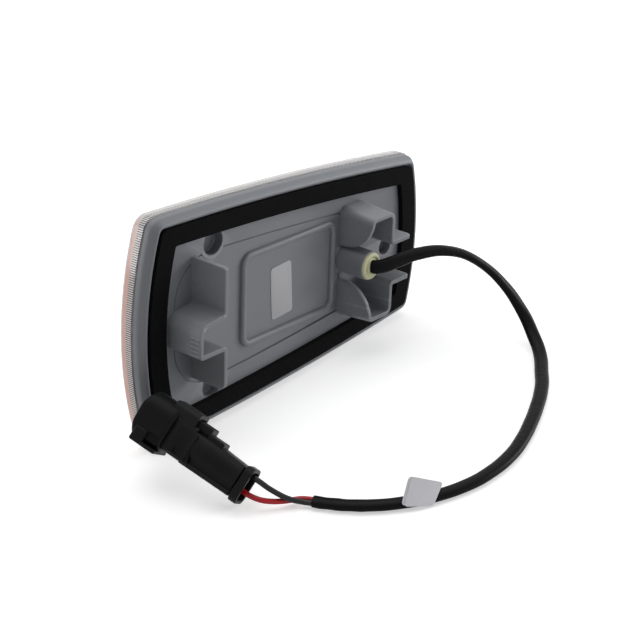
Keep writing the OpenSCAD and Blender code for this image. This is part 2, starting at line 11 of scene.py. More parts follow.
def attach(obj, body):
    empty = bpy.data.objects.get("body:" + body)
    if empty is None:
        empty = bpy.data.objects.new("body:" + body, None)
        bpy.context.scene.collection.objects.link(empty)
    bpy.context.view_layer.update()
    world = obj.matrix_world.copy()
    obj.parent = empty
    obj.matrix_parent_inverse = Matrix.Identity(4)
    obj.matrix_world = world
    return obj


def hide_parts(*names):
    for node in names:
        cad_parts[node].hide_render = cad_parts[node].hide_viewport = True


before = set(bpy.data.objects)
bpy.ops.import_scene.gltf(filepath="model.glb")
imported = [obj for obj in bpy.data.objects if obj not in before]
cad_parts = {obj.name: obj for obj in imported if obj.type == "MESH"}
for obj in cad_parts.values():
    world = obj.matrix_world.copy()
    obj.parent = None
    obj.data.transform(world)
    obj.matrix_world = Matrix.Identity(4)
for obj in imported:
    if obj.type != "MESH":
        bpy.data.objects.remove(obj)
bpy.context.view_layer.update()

bl_info = {
    "name": "Side repeater lamp",
    "version": (1, 0, 0),
    "blender": (4, 5, 0),
    "location": "3D View > Sidebar > Lamp",
    "description": "Builds the housing, lens, lead, plug and labels of a side repeater lamp",
    "category": "Object",
}

BODY = "root"
LOOK = "_look"
MM = 0.001
# Points closer than this, in millimetres, are one; edges sharper than this, in degrees, are shaded sharp
MERGE = 0.001
SHARP = 35
PLATE_SHARP = 50
LENS_SHARP = 60
PLUG_SHARP = 40

# Outline of the lamp in its own frame, in millimetres: corners as x and z, and the bow of each edge
CORNERS = [Vector((-61.1, -37.5)), Vector((63.6, -28.5)), Vector((63.6, 28.5)), Vector((-61.1, 37.5))]
BOWS = (1.6, 4.0, 1.6, 6.5)
EDGE_STEPS = (60, 30, 60, 36)
FILLET_STEPS = 10
FINE_STEPS = 8
CORNER_R = 5.0

# Where the lamp and the plug stand in the row frame
STAND = Vector((0.01024, 0.5, 0.0))
LIFT = 34.60437
REST_TILT = atan(9.0 / 124.7)
LAMP = (
    Matrix.Translation((STAND + Vector((0, 0, LIFT))) * MM)
    @ Matrix.Rotation(REST_TILT, 4, "Y")
    @ Matrix.Scale(MM, 4)
)
PLUG_REAR = Vector((-66.0, -42.0, 6.95))
PLUG_TURN = (
    Matrix.Rotation(radians(10.8), 4, "Z")
    @ Matrix.Rotation(radians(21.7), 4, "X")
    @ Matrix.Rotation(radians(36), 4, "Y")
)
PLUG = Matrix.Translation((STAND + PLUG_REAR) * MM) @ PLUG_TURN @ Matrix.Scale(MM, 4)
LEAD = Matrix.Translation(STAND * MM) @ Matrix.Scale(MM, 4)

# Levels and places of the housing
LAND_Y = -0.3
PLATE_Y = 2.0
FLANGE_Y = 2.6
LIP_W = 3.5
PANEL_END_X = 26.0
POCKETS = ((-35.4, 23.8, 8.4), (-35.4, -23.8, 8.4), (49.9, -1.2, 6.2))
BOSS = (28.4, 0.8)
FLANGE_STEP = 0.5
LENS_STEP = 0.05
SHOULDER_Y = 5.8
SHOULDER_R = 2.4
CROWN_H = 4.6
SHOULDER_STEPS = 6
CROWN_INSET = 23.5

# Route of the flat sleeve as it lies, and of the two wires between it and the plug
SLEEVE_ROUTE = (
    (28.4, -11.7, 33.3), (29.3, -13.5, 33.3), (32.2, -15.2, 33.5), (36.4, -16.5, 33.9), (43, -18.6, 34.4),
    (52, -22.4, 33.6), (59.8, -26.8, 30.4), (66.2, -32, 24.2), (69.6, -37.6, 17.2), (70, -43.8, 10.2),
    (67, -50.6, 4.4), (61.4, -57, 2), (53.6, -62.8, 1.5), (45.6, -68.4, 1.5), (37.4, -73, 1.5),
    (29, -77, 1.5), (20, -80.8, 1.5), (11, -84, 1.5), (2, -86.2, 1.5), (-7.6, -87, 1.5),
    (-16.6, -86.4, 1.5), (-25, -84.2, 1.5), (-33.2, -80.6, 1.5), (-40.6, -75.6, 1.5), (-46.6, -69.8, 1.5),
    (-51.4, -63, 1.5), (-54.6, -56.4, 1.5),
)
BLACK_MIDDLE = ((-62.8, -47.4, 6), (-59.8, -51.2, 3), (-57, -54.2, 1.7))
RED_MIDDLE = ((-66, -46.4, 3.6), (-62.6, -48.8, 2.4), (-58.8, -50.6, 1.6), (-55.6, -52.6, 1.4))
FLAG_POINT = 22
TWIST_POINTS = 6
SMOOTH_PARTS = 6


def length_prop(name, text, value):
    """A length in metres, shown in the scene's units."""
    return FloatProperty(
        name=name, description=text, default=value, min=0.0, unit="LENGTH", subtype="DISTANCE"
    )


def colour_prop(name, text, value):
    """A linear colour."""
    return FloatVectorProperty(
        name=name, description=text, default=value, size=3, min=0.0, max=1.0, subtype="COLOR"
    )


class LampSizes(bpy.types.PropertyGroup):
    """Sizes of the lamp's finer shapes."""

    lip_rise: length_prop("Lip rise", "Height of the rounded lip behind the back floor", 0.0016)
    bead_rise: length_prop("Bead rise", "Height of the label bead", 0.0014)
    bead_width: length_prop("Bead width", "Width of the label bead", 0.0022)
    clip_wall: length_prop("Clip wall", "Wall of the snap clips", 0.0015)
    clip_reach: length_prop("Clip reach", "Reach of the clips behind the back floor", 0.0138)
    edge_round: length_prop("Edge rounding", "Rounding of the moulded edges", 0.0003)
    lens_wall: length_prop("Lens wall", "Wall of the clear lens", 0.002)
    flute_depth: length_prop("Flute depth", "Depth of the flutes inside the lens wall", 0.00028)
    sleeve_width: length_prop("Sleeve width", "Width of the flat sleeve", 0.0046)
    sleeve_height: length_prop("Sleeve height", "Thickness of the flat sleeve", 0.0029)
    wire_diameter: length_prop("Wire diameter", "Outer diameter of one wire", 0.0017)


class LampColours(bpy.types.PropertyGroup):
    """Colours of the lamp's finishes."""

    housing: colour_prop("Housing", "Grey moulded plastic", (0.185, 0.195, 0.212))
    gasket: colour_prop("Gasket", "Black foam", (0.004, 0.004, 0.004))
    lens: colour_prop("Lens", "Clear plastic", (0.96, 0.94, 0.93))
    amber: colour_prop("Amber", "Amber inner lens", (0.85, 0.3, 0.12))
    grommet: colour_prop("Grommet", "Cream rubber", (0.56, 0.55, 0.34))
    sleeve: colour_prop("Sleeve", "Black sleeve of the lead", (0.003, 0.003, 0.0035))
    red: colour_prop("Red wire", "Red wire insulation", (0.36, 0.006, 0.012))
    plug: colour_prop("Plug", "Black moulded plug", (0.0035, 0.0035, 0.004))
    label: colour_prop("Label", "White label film", (0.43, 0.43, 0.45))
    floor: colour_prop("Floor", "Pale floor", (0.82, 0.82, 0.82))


# Outline


def bow_radius(i):
    """Radius of the bowed edge i."""
    chord = (CORNERS[(i + 1) % 4] - CORNERS[i]).length
    return (chord * chord / 4 + BOWS[i] ** 2) / (2 * BOWS[i])


def bow_centre(i):
    """Centre of the bowed edge i."""
    p, q = CORNERS[i], CORNERS[(i + 1) % 4]
    d = (q - p).normalized()
    return (p + q) / 2 - Vector((d.y, -d.x)) * (bow_radius(i) - BOWS[i])


def fillet_centre(i, inset, r):
    """Centre of the fillet between edge i and the next."""
    j = (i + 1) % 4
    a, b = bow_centre(i), bow_centre(j)
    ra, rb = bow_radius(i) - inset - r, bow_radius(j) - inset - r
    gap = (b - a).length
    u = (b - a) / gap
    along = (ra * ra - rb * rb + gap * gap) / (2 * gap)
    side = sqrt(ra * ra - along * along) * Vector((-u.y, u.x))
    p, q = a + along * u + side, a + along * u - side
    return p if (p - CORNERS[j]).length < (q - CORNERS[j]).length else q


def arc(centre, r, start, end, steps):
    """Points of an arc between two headings, the short way round."""
    turn = (end - start + 3 * pi) % (2 * pi) - pi
    return [
        centre + r * Vector((cos(start + turn * s / steps), sin(start + turn * s / steps)))
        for s in range(steps + 1)
    ]


def heading(v):
    """Heading of a flat vector."""
    return atan2(v.y, v.x)


def outline(inset, r):
    """Points of the lamp's outline moved in by inset, with corner radius r."""
    points = []
    for i in range(4):
        centre = bow_centre(i)
        before, after = fillet_centre((i + 3) % 4, inset, r), fillet_centre(i, inset, r)
        start, end = heading(before - centre), heading(after - centre)
        points += arc(centre, bow_radius(i) - inset, start, end, EDGE_STEPS[i])
        points += arc(after, r, end, heading(after - bow_centre((i + 1) % 4)), FILLET_STEPS)[1:-1]
    return points


def evenly(points, count):
    """A closed line of flat points, spaced evenly."""
    closed = [*points, points[0]]
    reached = [0.0]
    for a, b in zip(closed, closed[1:]):
        reached.append(reached[-1] + (b - a).length)
    spaced, k = [], 0
    for n in range(count):
        want = reached[-1] * n / count
        while reached[k + 1] < want:
            k += 1
        share = (want - reached[k]) / max(reached[k + 1] - reached[k], 1e-9)
        spaced.append(closed[k].lerp(closed[k + 1], share))
    return spaced


def at_depth(points, y):
    """Flat x and z points as points of the lamp at depth y."""
    return [Vector((p.x, y, p.y)) for p in points]


def round_rect(w, h, r, steps=6):
    """Points of a rounded rectangle."""
    points = []
    for sx, sy, start in ((1, 1, 0), (-1, 1, 90), (-1, -1, 180), (1, -1, 270)):
        corner = Vector((sx * (w / 2 - r), sy * (h / 2 - r)))
        for s in range(steps + 1):
            a = radians(start + 90 * s / steps)
            points.append(corner + r * Vector((cos(a), sin(a))))
    return points


# Mesh tools


def loft(bm, rings, capped=True):
    """Extrudes a ring of edges through the rings, point by point, and closes its ends if capped."""
    verts = [bm.verts.new(p) for p in rings[0]]
    count = len(verts)
    edges = [bm.edges.new((verts[i], verts[(i + 1) % count])) for i in range(count)]
    if capped:
        bmesh.ops.contextual_create(bm, geom=edges)
    for ring in rings[1:]:
        made = bmesh.ops.extrude_edge_only(bm, edges=edges)["geom"]
        fresh = {v for v in made if isinstance(v, bmesh.types.BMVert)}
        moved = []
        for v, place in zip(verts, ring):
            twin = next(e.other_vert(v) for e in v.link_edges if e.other_vert(v) in fresh)
            twin.co = place
            moved.append(twin)
        verts = moved
        edges = [bm.edges.get((verts[i], verts[(i + 1) % count])) for i in range(count)]
    if capped:
        bmesh.ops.contextual_create(bm, geom=edges)


def lofted(rings, capped=True):
    """A new mesh lofted through the rings."""
    bm = bmesh.new()
    loft(bm, rings, capped)
    return bm


def turned(bm, profile, x, z, steps=64):
    """Spins a profile of radius and depth pairs round a line along y."""
    verts = [bm.verts.new((x + r, y, z)) for r, y in profile]
    edges = [bm.edges.new(pair) for pair in zip(verts, verts[1:])]
    bmesh.ops.spin(
        bm, geom=verts + edges, cent=(x, 0, z), axis=(0, 1, 0), angle=2 * pi, steps=steps, use_merge=True
    )


def round_edges(bm, edges, width, segments=2):
    """Bevels these edges."""
    bmesh.ops.bevel(
        bm, geom=edges, offset=width, offset_type="OFFSET", segments=segments, profile=0.5,
        affect="EDGES", clamp_overlap=True, material=-1,
    )


def block(bm, low, high, width=0.3, segments=2):
    """A box between two corners, with rounded edges."""
    low, high = Vector(low), Vector(high)
    verts = bmesh.ops.create_cube(bm, size=1)["verts"]
    bmesh.ops.scale(bm, vec=high - low, verts=verts)
    bmesh.ops.translate(bm, vec=(low + high) / 2, verts=verts)
    round_edges(bm, list(dict.fromkeys(e for v in verts for e in v.link_edges)), width, segments)


def rounded_path(points, radii, step, arc_steps=8):
    """A flat path with its inner corners rounded, as closely spaced points."""
    points = [Vector(p) for p in points]
    path = [points[0]]
    for before, p, after, r in zip(points, points[1:], points[2:], radii):
        a, b = (before - p).normalized(), (after - p).normalized()
        half = a.angle(b) / 2
        cut = r / tan(half)
        centre = p + (a + b).normalized() * (r / sin(half))
        start, end = p + a * cut, p + b * cut
        path += arc(centre, r, heading(start - centre), heading(end - centre), arc_steps)
    path.append(points[-1])
    filled = [path[0]]
    for a, b in zip(path, path[1:]):
        parts = max(1, int((b - a).length / step))
        filled += [a.lerp(b, n / parts) for n in range(1, parts + 1)]
    return filled


def wall(bm, path, thickness, reach_at, edge, root=1.0):
    """A standing wall along a flat path, with a rounded free edge whose reach varies."""
    half = thickness / 2
    last = len(path) - 1
    turn = [(edge * (1 - cos(radians(a))), edge * (1 - sin(radians(a)))) for a in (0, 30, 60, 90)]
    rings, gone = [], 0.0
    total = sum((b - a).length for a, b in zip(path, path[1:]))
    for i, p in enumerate(path):
        if i:
            gone += (p - path[i - 1]).length
        d = (path[min(i + 1, last)] - path[max(i - 1, 0)]).normalized()
        n = Vector((-d.y, d.x))
        reach = reach_at(gone, total - gone, p)
        section = [(-half, root), *[(-half + u, -reach + v) for u, v in turn]]
        section += [*[(half - v, -reach + u) for u, v in turn], (half, root)]
        rings.append([Vector((p.x + n.x * o, y, p.y + n.y * o)) for o, y in section])
    loft(bm, rings)


def end_round(distance, r):
    """How much shorter a wall is near its free end, for a corner of radius r."""
    return 0.0 if distance >= r else r - sqrt(max(r * r - (r - distance) ** 2, 0.0))


def smooth_line(points, parts=SMOOTH_PARTS):
    """A smooth line through points, as closely spaced points."""
    points = [Vector(p) for p in points]
    padded = [2 * points[0] - points[1], *points, 2 * points[-1] - points[-2]]
    line = []
    for a, b, c, d in zip(padded, padded[1:], padded[2:], padded[3:]):
        for n in range(parts):
            t = n / parts
            curve = (2 * a - 5 * b + 4 * c - d) * t * t
            line.append(0.5 * (2 * b + (c - a) * t + curve + (3 * b - a - 3 * c + d) * t * t * t))
    line.append(points[-1])
    return line


def tube_rings(line, width, height, sides, swell=None, power=1.0, twist=None):
    """Sections along a line, swollen by a factor, their wide side level or turned by an angle."""
    last = len(line) - 1
    rings = []
    for i, p in enumerate(line):
        t = (line[min(i + 1, last)] - line[max(i - 1, 0)]).normalized()
        side = Vector((0, 0, 1)).cross(t).normalized()
        up = t.cross(side)
        if twist:
            a = twist(i)
            side = side * cos(a) + up * sin(a)
            up = t.cross(side)
        ring = []
        for k in range(sides):
            a = 2 * pi * k / sides
            c, s = cos(a), sin(a)
            grow = swell(i, a) if swell else 1.0
            flat = abs(c) ** power * (1 if c > 0 else -1)
            ring.append(p + (side * flat * width / 2 + up * s * height / 2) * grow)
        rings.append(ring)
    return rings


def cord_mesh(rings):
    """A closed tube through the rings, mapped by the distance along it and the turn round it."""
    bm = lofted(rings)
    layer = bm.loops.layers.uv.new("cord")
    sides = len(rings[0])
    reached = [0.0]
    for a, b in zip(rings, rings[1:]):
        reached.append(reached[-1] + (b[0] - a[0]).length)
    bm.verts.ensure_lookup_table()
    for face in bm.faces:
        for loop in face.loops:
            ring, k = divmod(loop.vert.index, sides)
            loop[layer].uv = (reached[min(ring, len(reached) - 1)], k / sides)
    return bm


def place(name, bm, matrix, finish, slot, replaced=(), sharp=SHARP):
    """Makes a piece of a mesh drawn in millimetres and puts it on the body."""
    bmesh.ops.remove_doubles(bm, verts=bm.verts, dist=MERGE)
    bmesh.ops.recalc_face_normals(bm, faces=bm.faces)
    bmesh.ops.transform(bm, matrix=matrix, verts=bm.verts)
    mesh = bpy.data.meshes.new(name)
    bm.to_mesh(mesh)
    bm.free()
    mesh.shade_smooth()
    mesh.set_sharp_from_angle(angle=radians(sharp))
    mesh.materials.append(finish)
    piece = bpy.data.objects.new(name, mesh)
    bpy.context.scene.collection.objects.link(piece)
    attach(piece, BODY)
    if replaced:
        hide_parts(*replaced)
    return piece


def cut_holes(piece, cutters):
    """Cuts closed meshes drawn in the row frame out of a piece."""
    holes = bpy.data.meshes.new("holes")
    bmesh.ops.recalc_face_normals(cutters, faces=cutters.faces)
    cutters.to_mesh(holes)
    cutters.free()
    cutter = bpy.data.objects.new("holes", holes)
    bpy.context.scene.collection.objects.link(cutter)
    cut = piece.modifiers.new("holes", "BOOLEAN")
    cut.operation = "DIFFERENCE"
    cut.solver = "EXACT"
    cut.object = cutter
    shown = piece.evaluated_get(bpy.context.evaluated_depsgraph_get())
    mesh = bpy.data.meshes.new_from_object(shown)
    piece.modifiers.clear()
    bpy.data.objects.remove(cutter)
    mesh.name = piece.name
    piece.data = mesh
    mesh.shade_smooth()
    mesh.set_sharp_from_angle(angle=radians(SHARP))


def dress(finish, *nodes):
    """Gives CAD nodes a finish."""
    for name in nodes:
        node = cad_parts[name]
        if not node.material_slots:
            node.data.materials.append(finish)
        for held in node.material_slots:
            held.material = finish


# Finishes


def new_group(name, inputs, outputs):
    """An empty shader group with named sockets."""
    group = bpy.data.node_groups.new(name, "ShaderNodeTree")
    for socket, kind, value in inputs:
        made = group.interface.new_socket(name=socket, in_out="INPUT", socket_type=kind)
        made.default_value = value
    for socket, kind in outputs:
        group.interface.new_socket(name=socket, in_out="OUTPUT", socket_type=kind)
    return group, group.nodes.new("NodeGroupInput").outputs, group.nodes.new("NodeGroupOutput")


def fill(tree, made, sockets):
    """Links sockets of a node to others, or sets them to plain values."""
    for name, value in sockets.items():
        if isinstance(value, bpy.types.NodeSocket):
            tree.links.new(value, made.inputs[name])
        else:
            made.inputs[name].default_value = value


def node(tree, kind, sockets, **settings):
    """A new shader node with these sockets and settings."""
    made = tree.nodes.new("ShaderNode" + kind)
    for name, value in settings.items():
        setattr(made, name, value)
    fill(tree, made, sockets)
    return made


def object_place(tree):
    """Coordinates that stay with the piece."""
    return node(tree, "TexCoord", {}).outputs["Object"]


def part_of(tree, vector, axis):
    """One number of a vector."""
    return node(tree, "SeparateXYZ", {"Vector": vector}).outputs[axis]


def noise(tree, vector, scale, detail=4.0, rough=0.6):
    """Noise on these coordinates."""
    sockets = {"Vector": vector, "Scale": scale, "Detail": detail, "Roughness": rough}
    return node(tree, "TexNoise", sockets).outputs["Fac"]


def maths(tree, operation, a, b):
    """The result of a maths node for two sockets or numbers."""
    return node(tree, "Math", {0: a, 1: b}, operation=operation).outputs[0]


def between(tree, value, low, high, start=0.0, end=1.0):
    """A value that runs from start to end, spread from low to high."""
    sockets = {"Value": value, "From Min": start, "From Max": end, "To Min": low, "To Max": high}
    return node(tree, "MapRange", sockets).outputs["Result"]


def scaled(tree, colour, factor):
    """A colour made lighter or darker by a factor."""
    return node(tree, "VectorMath", {0: colour, "Scale": factor}, operation="SCALE").outputs["Vector"]


def mixed(tree, mask, a, b):
    """A colour that a mask takes from a to b, each a socket or three numbers."""
    a, b = (value if isinstance(value, bpy.types.NodeSocket) else (*value, 1) for value in (a, b))
    return node(tree, "Mix", {"Factor": mask, "A": a, "B": b}, data_type="RGBA").outputs["Result"]


# Scales of the patterns, per metre
DRIFT_SCALE = 45.0
SMEAR_SCALE = 160.0
# The next scale is for the noise that breaks up the painted highlight on convex edges
EDGE_HIGHLIGHT_SCALE = 600.0
CELL_SCALE = 2200.0
FOAM_SCALE = 300.0
HAZE_SCALE = 120.0
AMBER_SCALE = 80.0
PRISM_SCALE = 110.0
TIN_SCALE = 900.0


def moulded_group():
    """Spark-eroded plastic: slow tone drift, fine grain and a changing gloss."""
    found = bpy.data.node_groups.get("moulded_plastic")
    if found:
        return found
    group, given, out = new_group(
        "moulded_plastic",
        (
            ("Color", "NodeSocketColor", (0.5, 0.5, 0.5, 1)),
            ("Grain Scale", "NodeSocketFloat", 2500.0),
            ("Drift", "NodeSocketFloat", 0.06),
            ("Rough Low", "NodeSocketFloat", 0.4),
            ("Rough High", "NodeSocketFloat", 0.55),
        ),
        (("Color", "NodeSocketColor"), ("Roughness", "NodeSocketFloat"), ("Height", "NodeSocketFloat")),
    )
    spot = object_place(group)
    fine = noise(group, spot, given["Grain Scale"], 2.0)
    parts = [
        maths(group, "MULTIPLY", maths(group, "SUBTRACT", part, 0.5), given["Drift"])
        for part in (noise(group, spot, DRIFT_SCALE, 3.0), fine)
    ]
    tone = maths(group, "ADD", maths(group, "ADD", *parts), 1.0)
    smear = noise(group, spot, SMEAR_SCALE, 5.0, 0.7)
    rough = between(group, smear, given["Rough Low"], given["Rough High"])
    fill(group, out, {"Color": scaled(group, given["Color"], tone), "Roughness": rough, "Height": fine})
    return group


def painted_edge_highlight_group():
    """A mask for a painted highlight: 1 on convex edges, broken up by noise."""
    found = bpy.data.node_groups.get("painted_edge_highlight")
    if found:
        return found
    group, given, out = new_group(
        "painted_edge_highlight",
        (("Start", "NodeSocketFloat", 0.52), ("End", "NodeSocketFloat", 0.62)),
        (("Mask", "NodeSocketFloat"),),
    )
    convex = node(group, "NewGeometry", {}).outputs["Pointiness"]
    ramp = between(group, convex, 0.0, 1.0, given["Start"], given["End"])
    broken = between(group, noise(group, object_place(group), EDGE_HIGHLIGHT_SCALE, 3.0), 0.5, 1.2)
    fill(group, out, {"Mask": maths(group, "MULTIPLY", ramp, broken)})
    return group


def blank(name):
    """A new material, its nodes and its shader."""
    made = bpy.data.materials.new(name + LOOK)
    made.use_nodes = True
    return made, made.node_tree, made.node_tree.nodes["Principled BSDF"]


def bump_into(tree, shader, height, distance, strength=0.5):
    """Bumps a shader by a height socket."""
    made = node(tree, "Bump", {"Strength": strength, "Distance": distance, "Height": height})
    fill(tree, shader, {"Normal": made.outputs["Normal"]})


def plastic(name, colour, low, high, grain=2500.0, drift=0.08, depth=0.00004, edge_highlight=0.0, shine=0.4):
    """Moulded plastic in a colour, with a gloss range, a grain, a painted highlight on its convex edges and a
    shine.
    """
    made = bpy.data.materials.get(name + LOOK)
    if made:
        return made
    made, tree, shader = blank(name)
    sockets = {"Grain Scale": grain, "Drift": drift, "Rough Low": low, "Rough High": high}
    skin = node(tree, "Group", {"Color": (*colour, 1), **sockets}, node_tree=moulded_group()).outputs
    base = skin["Color"]
    # Convex edges get a painted highlight: their colour is made lighter by this amount
    if edge_highlight:
        highlight = node(tree, "Group", {}, node_tree=painted_edge_highlight_group()).outputs["Mask"]
        base = mixed(tree, highlight, base, [min(1.0, c + edge_highlight) for c in colour])
    fill(tree, shader, {"Base Color": base, "Roughness": skin["Roughness"], "Specular IOR Level": shine})
    bump_into(tree, shader, skin["Height"], depth)
    return made


def housing_finish():
    """Satin grey plastic, with a painted highlight that makes its convex edges paler."""
    colours = bpy.context.scene.lamp_colours
    return plastic(
        "housing_grey", colours.housing, low=0.36, high=0.5, grain=1800.0, drift=0.1, depth=0.00002,
        edge_highlight=0.12, shine=0.35,
    )


def foam_finish():
    """Closed-cell foam: matt, pitted and nearly black."""
    made, tree, shader = blank("gasket_foam")
    spot = object_place(tree)
    pits = node(tree, "TexVoronoi", {"Vector": spot, "Scale": CELL_SCALE}).outputs["Distance"]
    base = scaled(tree, bpy.context.scene.lamp_colours.gasket, between(tree, pits, 0.6, 1.7))
    rough = between(tree, noise(tree, spot, FOAM_SCALE), 0.85, 0.98)
    fill(tree, shader, {"Base Color": base, "Roughness": rough, "Specular IOR Level": 0.06})
    bump_into(tree, shader, pits, 0.0001, 0.7)
    return made


PLASTIC_IOR = 1.49
FLUTE_PITCH = 0.8
FLUTE_LEVEL = 0.1
FLUTE_END_Y = 4.7
# Colour of the painted shade, drawn as dark stripes where the flutes are
PAINTED_FLUTE_SHADE = (0.14, 0.13, 0.135)
# A painted warm glow above the flutes, standing in for the amber lens's light seen through the wall: its top,
# its place across the tall end and its colour
GLOW_END_Y = 6.4
GLOW_X = (-0.0565, -0.0605)
PAINTED_GLOW_COLOUR = (1.0, 0.56, 0.45)


def see_through(tree, shader, base, haze, rough, share):
    """Gives a shader the look of clear plastic that lets this share of light through."""
    sockets = {"Base Color": base, "Roughness": between(tree, haze, *rough)}
    fill(tree, shader, {**sockets, "IOR": PLASTIC_IOR, "Transmission Weight": share})


def clear_finish():
    """Clear moulded plastic with a faint haze."""
    made, tree, shader = blank("lens_clear")
    haze = noise(tree, object_place(tree), HAZE_SCALE)
    base = mixed(tree, haze, bpy.context.scene.lamp_colours.lens, (0.98, 0.98, 0.98))
    see_through(tree, shader, base, haze, rough=(0.02, 0.1), share=0.94)
    return made


def wall_finish():
    """Hazy side wall of the lens: fine dark flutes at its foot drawn as painted shade, and above them a
    painted warm glow at the tall end, standing in for the amber lens's light seen through the wall.
    """
    made, tree, shader = blank("lens_wall")
    spot = object_place(tree)
    haze = noise(tree, spot, HAZE_SCALE)
    flat = node(tree, "UVMap", {}, uv_map="wall").outputs["UV"]
    gone, depth = part_of(tree, flat, "X"), part_of(tree, flat, "Y")
    turn = maths(tree, "SINE", maths(tree, "MULTIPLY", gone, 2 * pi / FLUTE_PITCH), 0.0)
    fluted = maths(tree, "LESS_THAN", depth, FLUTE_END_Y)
    # Dark stripes of painted shade at the flutes' pitch, up to the flutes' end
    painted_flute_shade = maths(tree, "MULTIPLY", maths(tree, "GREATER_THAN", turn, FLUTE_LEVEL), fluted)
    # A painted warm glow above the flutes at the tall end, standing in for the amber lens's light seen
    # through the wall
    band = maths(tree, "SUBTRACT", maths(tree, "LESS_THAN", depth, GLOW_END_Y), fluted)
    glow = maths(tree, "MULTIPLY", band, between(tree, haze, 0.6, 1.1))
    glow = maths(tree, "MULTIPLY", glow, between(tree, part_of(tree, spot, "X"), 0.0, 1.0, *GLOW_X))
    base = mixed(tree, glow, bpy.context.scene.lamp_colours.lens, PAINTED_GLOW_COLOUR)
    flute_shaded_base = mixed(tree, painted_flute_shade, base, PAINTED_FLUTE_SHADE)
    see_through(tree, shader, flute_shaded_base, haze, rough=(0.02, 0.12), share=0.35)
    return made


def amber_finish():
    """Amber plastic with a fine prism pattern."""
    made, tree, shader = blank("lens_amber")
    red, green, blue = bpy.context.scene.lamp_colours.amber
    spot = object_place(tree)
    drift = noise(tree, spot, AMBER_SCALE, 3.0)
    base = mixed(tree, drift, (red, green, blue), (red, green * 1.5, blue * 1.6))
    see_through(tree, shader, base, drift, rough=(0.18, 0.3), share=0.45)
    prisms = node(tree, "TexWave", {"Vector": spot, "Scale": PRISM_SCALE})
    bump_into(tree, shader, prisms.outputs["Fac"], 0.0003, 0.6)
    return made


def cord_finish(name, colour, low, high, wrinkle, shine):
    """Extruded insulation, with marks along and across it."""
    made, tree, shader = blank(name)
    along = node(tree, "UVMap", {}, uv_map="cord").outputs["UV"]
    stretched = node(tree, "Mapping", {"Vector": along, "Scale": (0.25, 4.0, 1.0)}).outputs["Vector"]
    drawn = noise(tree, stretched, 6.0, 5.0)
    ripple = noise(tree, along, 0.9, 3.0)
    base = mixed(tree, drawn, colour, [min(1.0, c * 1.7 + 0.002) for c in colour])
    rough = between(tree, drawn, low, high)
    fill(tree, shader, {"Base Color": base, "Roughness": rough, "Specular IOR Level": shine})
    bump_into(tree, shader, maths(tree, "ADD", maths(tree, "MULTIPLY", drawn, 0.15), ripple), wrinkle, 0.6)
    return made


def metal_finish():
    """Tinned contact metal."""
    made, tree, shader = blank("tin")
    worn = noise(tree, object_place(tree), TIN_SCALE)
    base = mixed(tree, worn, (0.6, 0.6, 0.6), (0.75, 0.74, 0.71))
    fill(tree, shader, {"Base Color": base, "Roughness": between(tree, worn, 0.2, 0.4), "Metallic": 1.0})
    return made


# Pieces

CAMERA_LENS = 105.09
CAMERA_SENSOR = 36.0
CAMERA_AT = (
    (0.64423, 0.352927, -0.678536, -0.403019),
    (-0.764709, 0.281319, -0.579724, -0.357288),
    (-0.013715, 0.892358, 0.45112, 0.293412),
    (0, 0, 0, 1),
)


class LAMP_OT_camera(bpy.types.Operator):
    """Place the camera at the lamp's three-quarter back view"""

    bl_idname = "lamp.camera"
    bl_label = "Camera"

    def execute(self, context):
        data = bpy.data.cameras.new("camera")
        data.lens = CAMERA_LENS
        data.sensor_width = CAMERA_SENSOR
        eye = bpy.data.objects.new("camera", data)
        context.scene.collection.objects.link(eye)
        eye.matrix_world = Matrix(CAMERA_AT)
        context.scene.camera = eye
        return {"FINISHED"}


# Each wire leaves its contact in the plug, and ends beside the middle of the sleeve, tucked into it
CONTACT_STEP = 2.5
CONTACT_ENDS_Y = (2.2, -1.5)
WIRE_STEP = 1.0
WIRE_TUCK = 3
WIRE_SIDES = 16
SLEEVE_SIDES = 24
SLEEVE_POWER = 0.8
# Waves of the sleeve, and of its shrunk tip, as shares of its section
SLEEVE_WAVE = 0.012
WAVE_TURN = 0.9
TIP_WAVE = 0.035
TIP_TURN = 1.3
TIP_SHRINK = 0.02
TIP_POINTS = 12
TIP_REACH = 0.2
TIP_DEPTH = 2
TIP_SHARES = (0.86, 0.82)


def wire_line(side, middle):
    """The points of one wire, from its seal in the plug to inside the sleeve."""
    end = Vector(SLEEVE_ROUTE[-1])
    back = (Vector(SLEEVE_ROUTE[-2]) - end).normalized()
    across = Vector((0, 0, 1)).cross(-back).normalized() * WIRE_STEP * side
    start = [PLUG_REAR + PLUG_TURN @ Vector((0, y, side * CONTACT_STEP)) for y in CONTACT_ENDS_Y]
    return [*start, *middle, end + across, end + back * WIRE_TUCK + across]


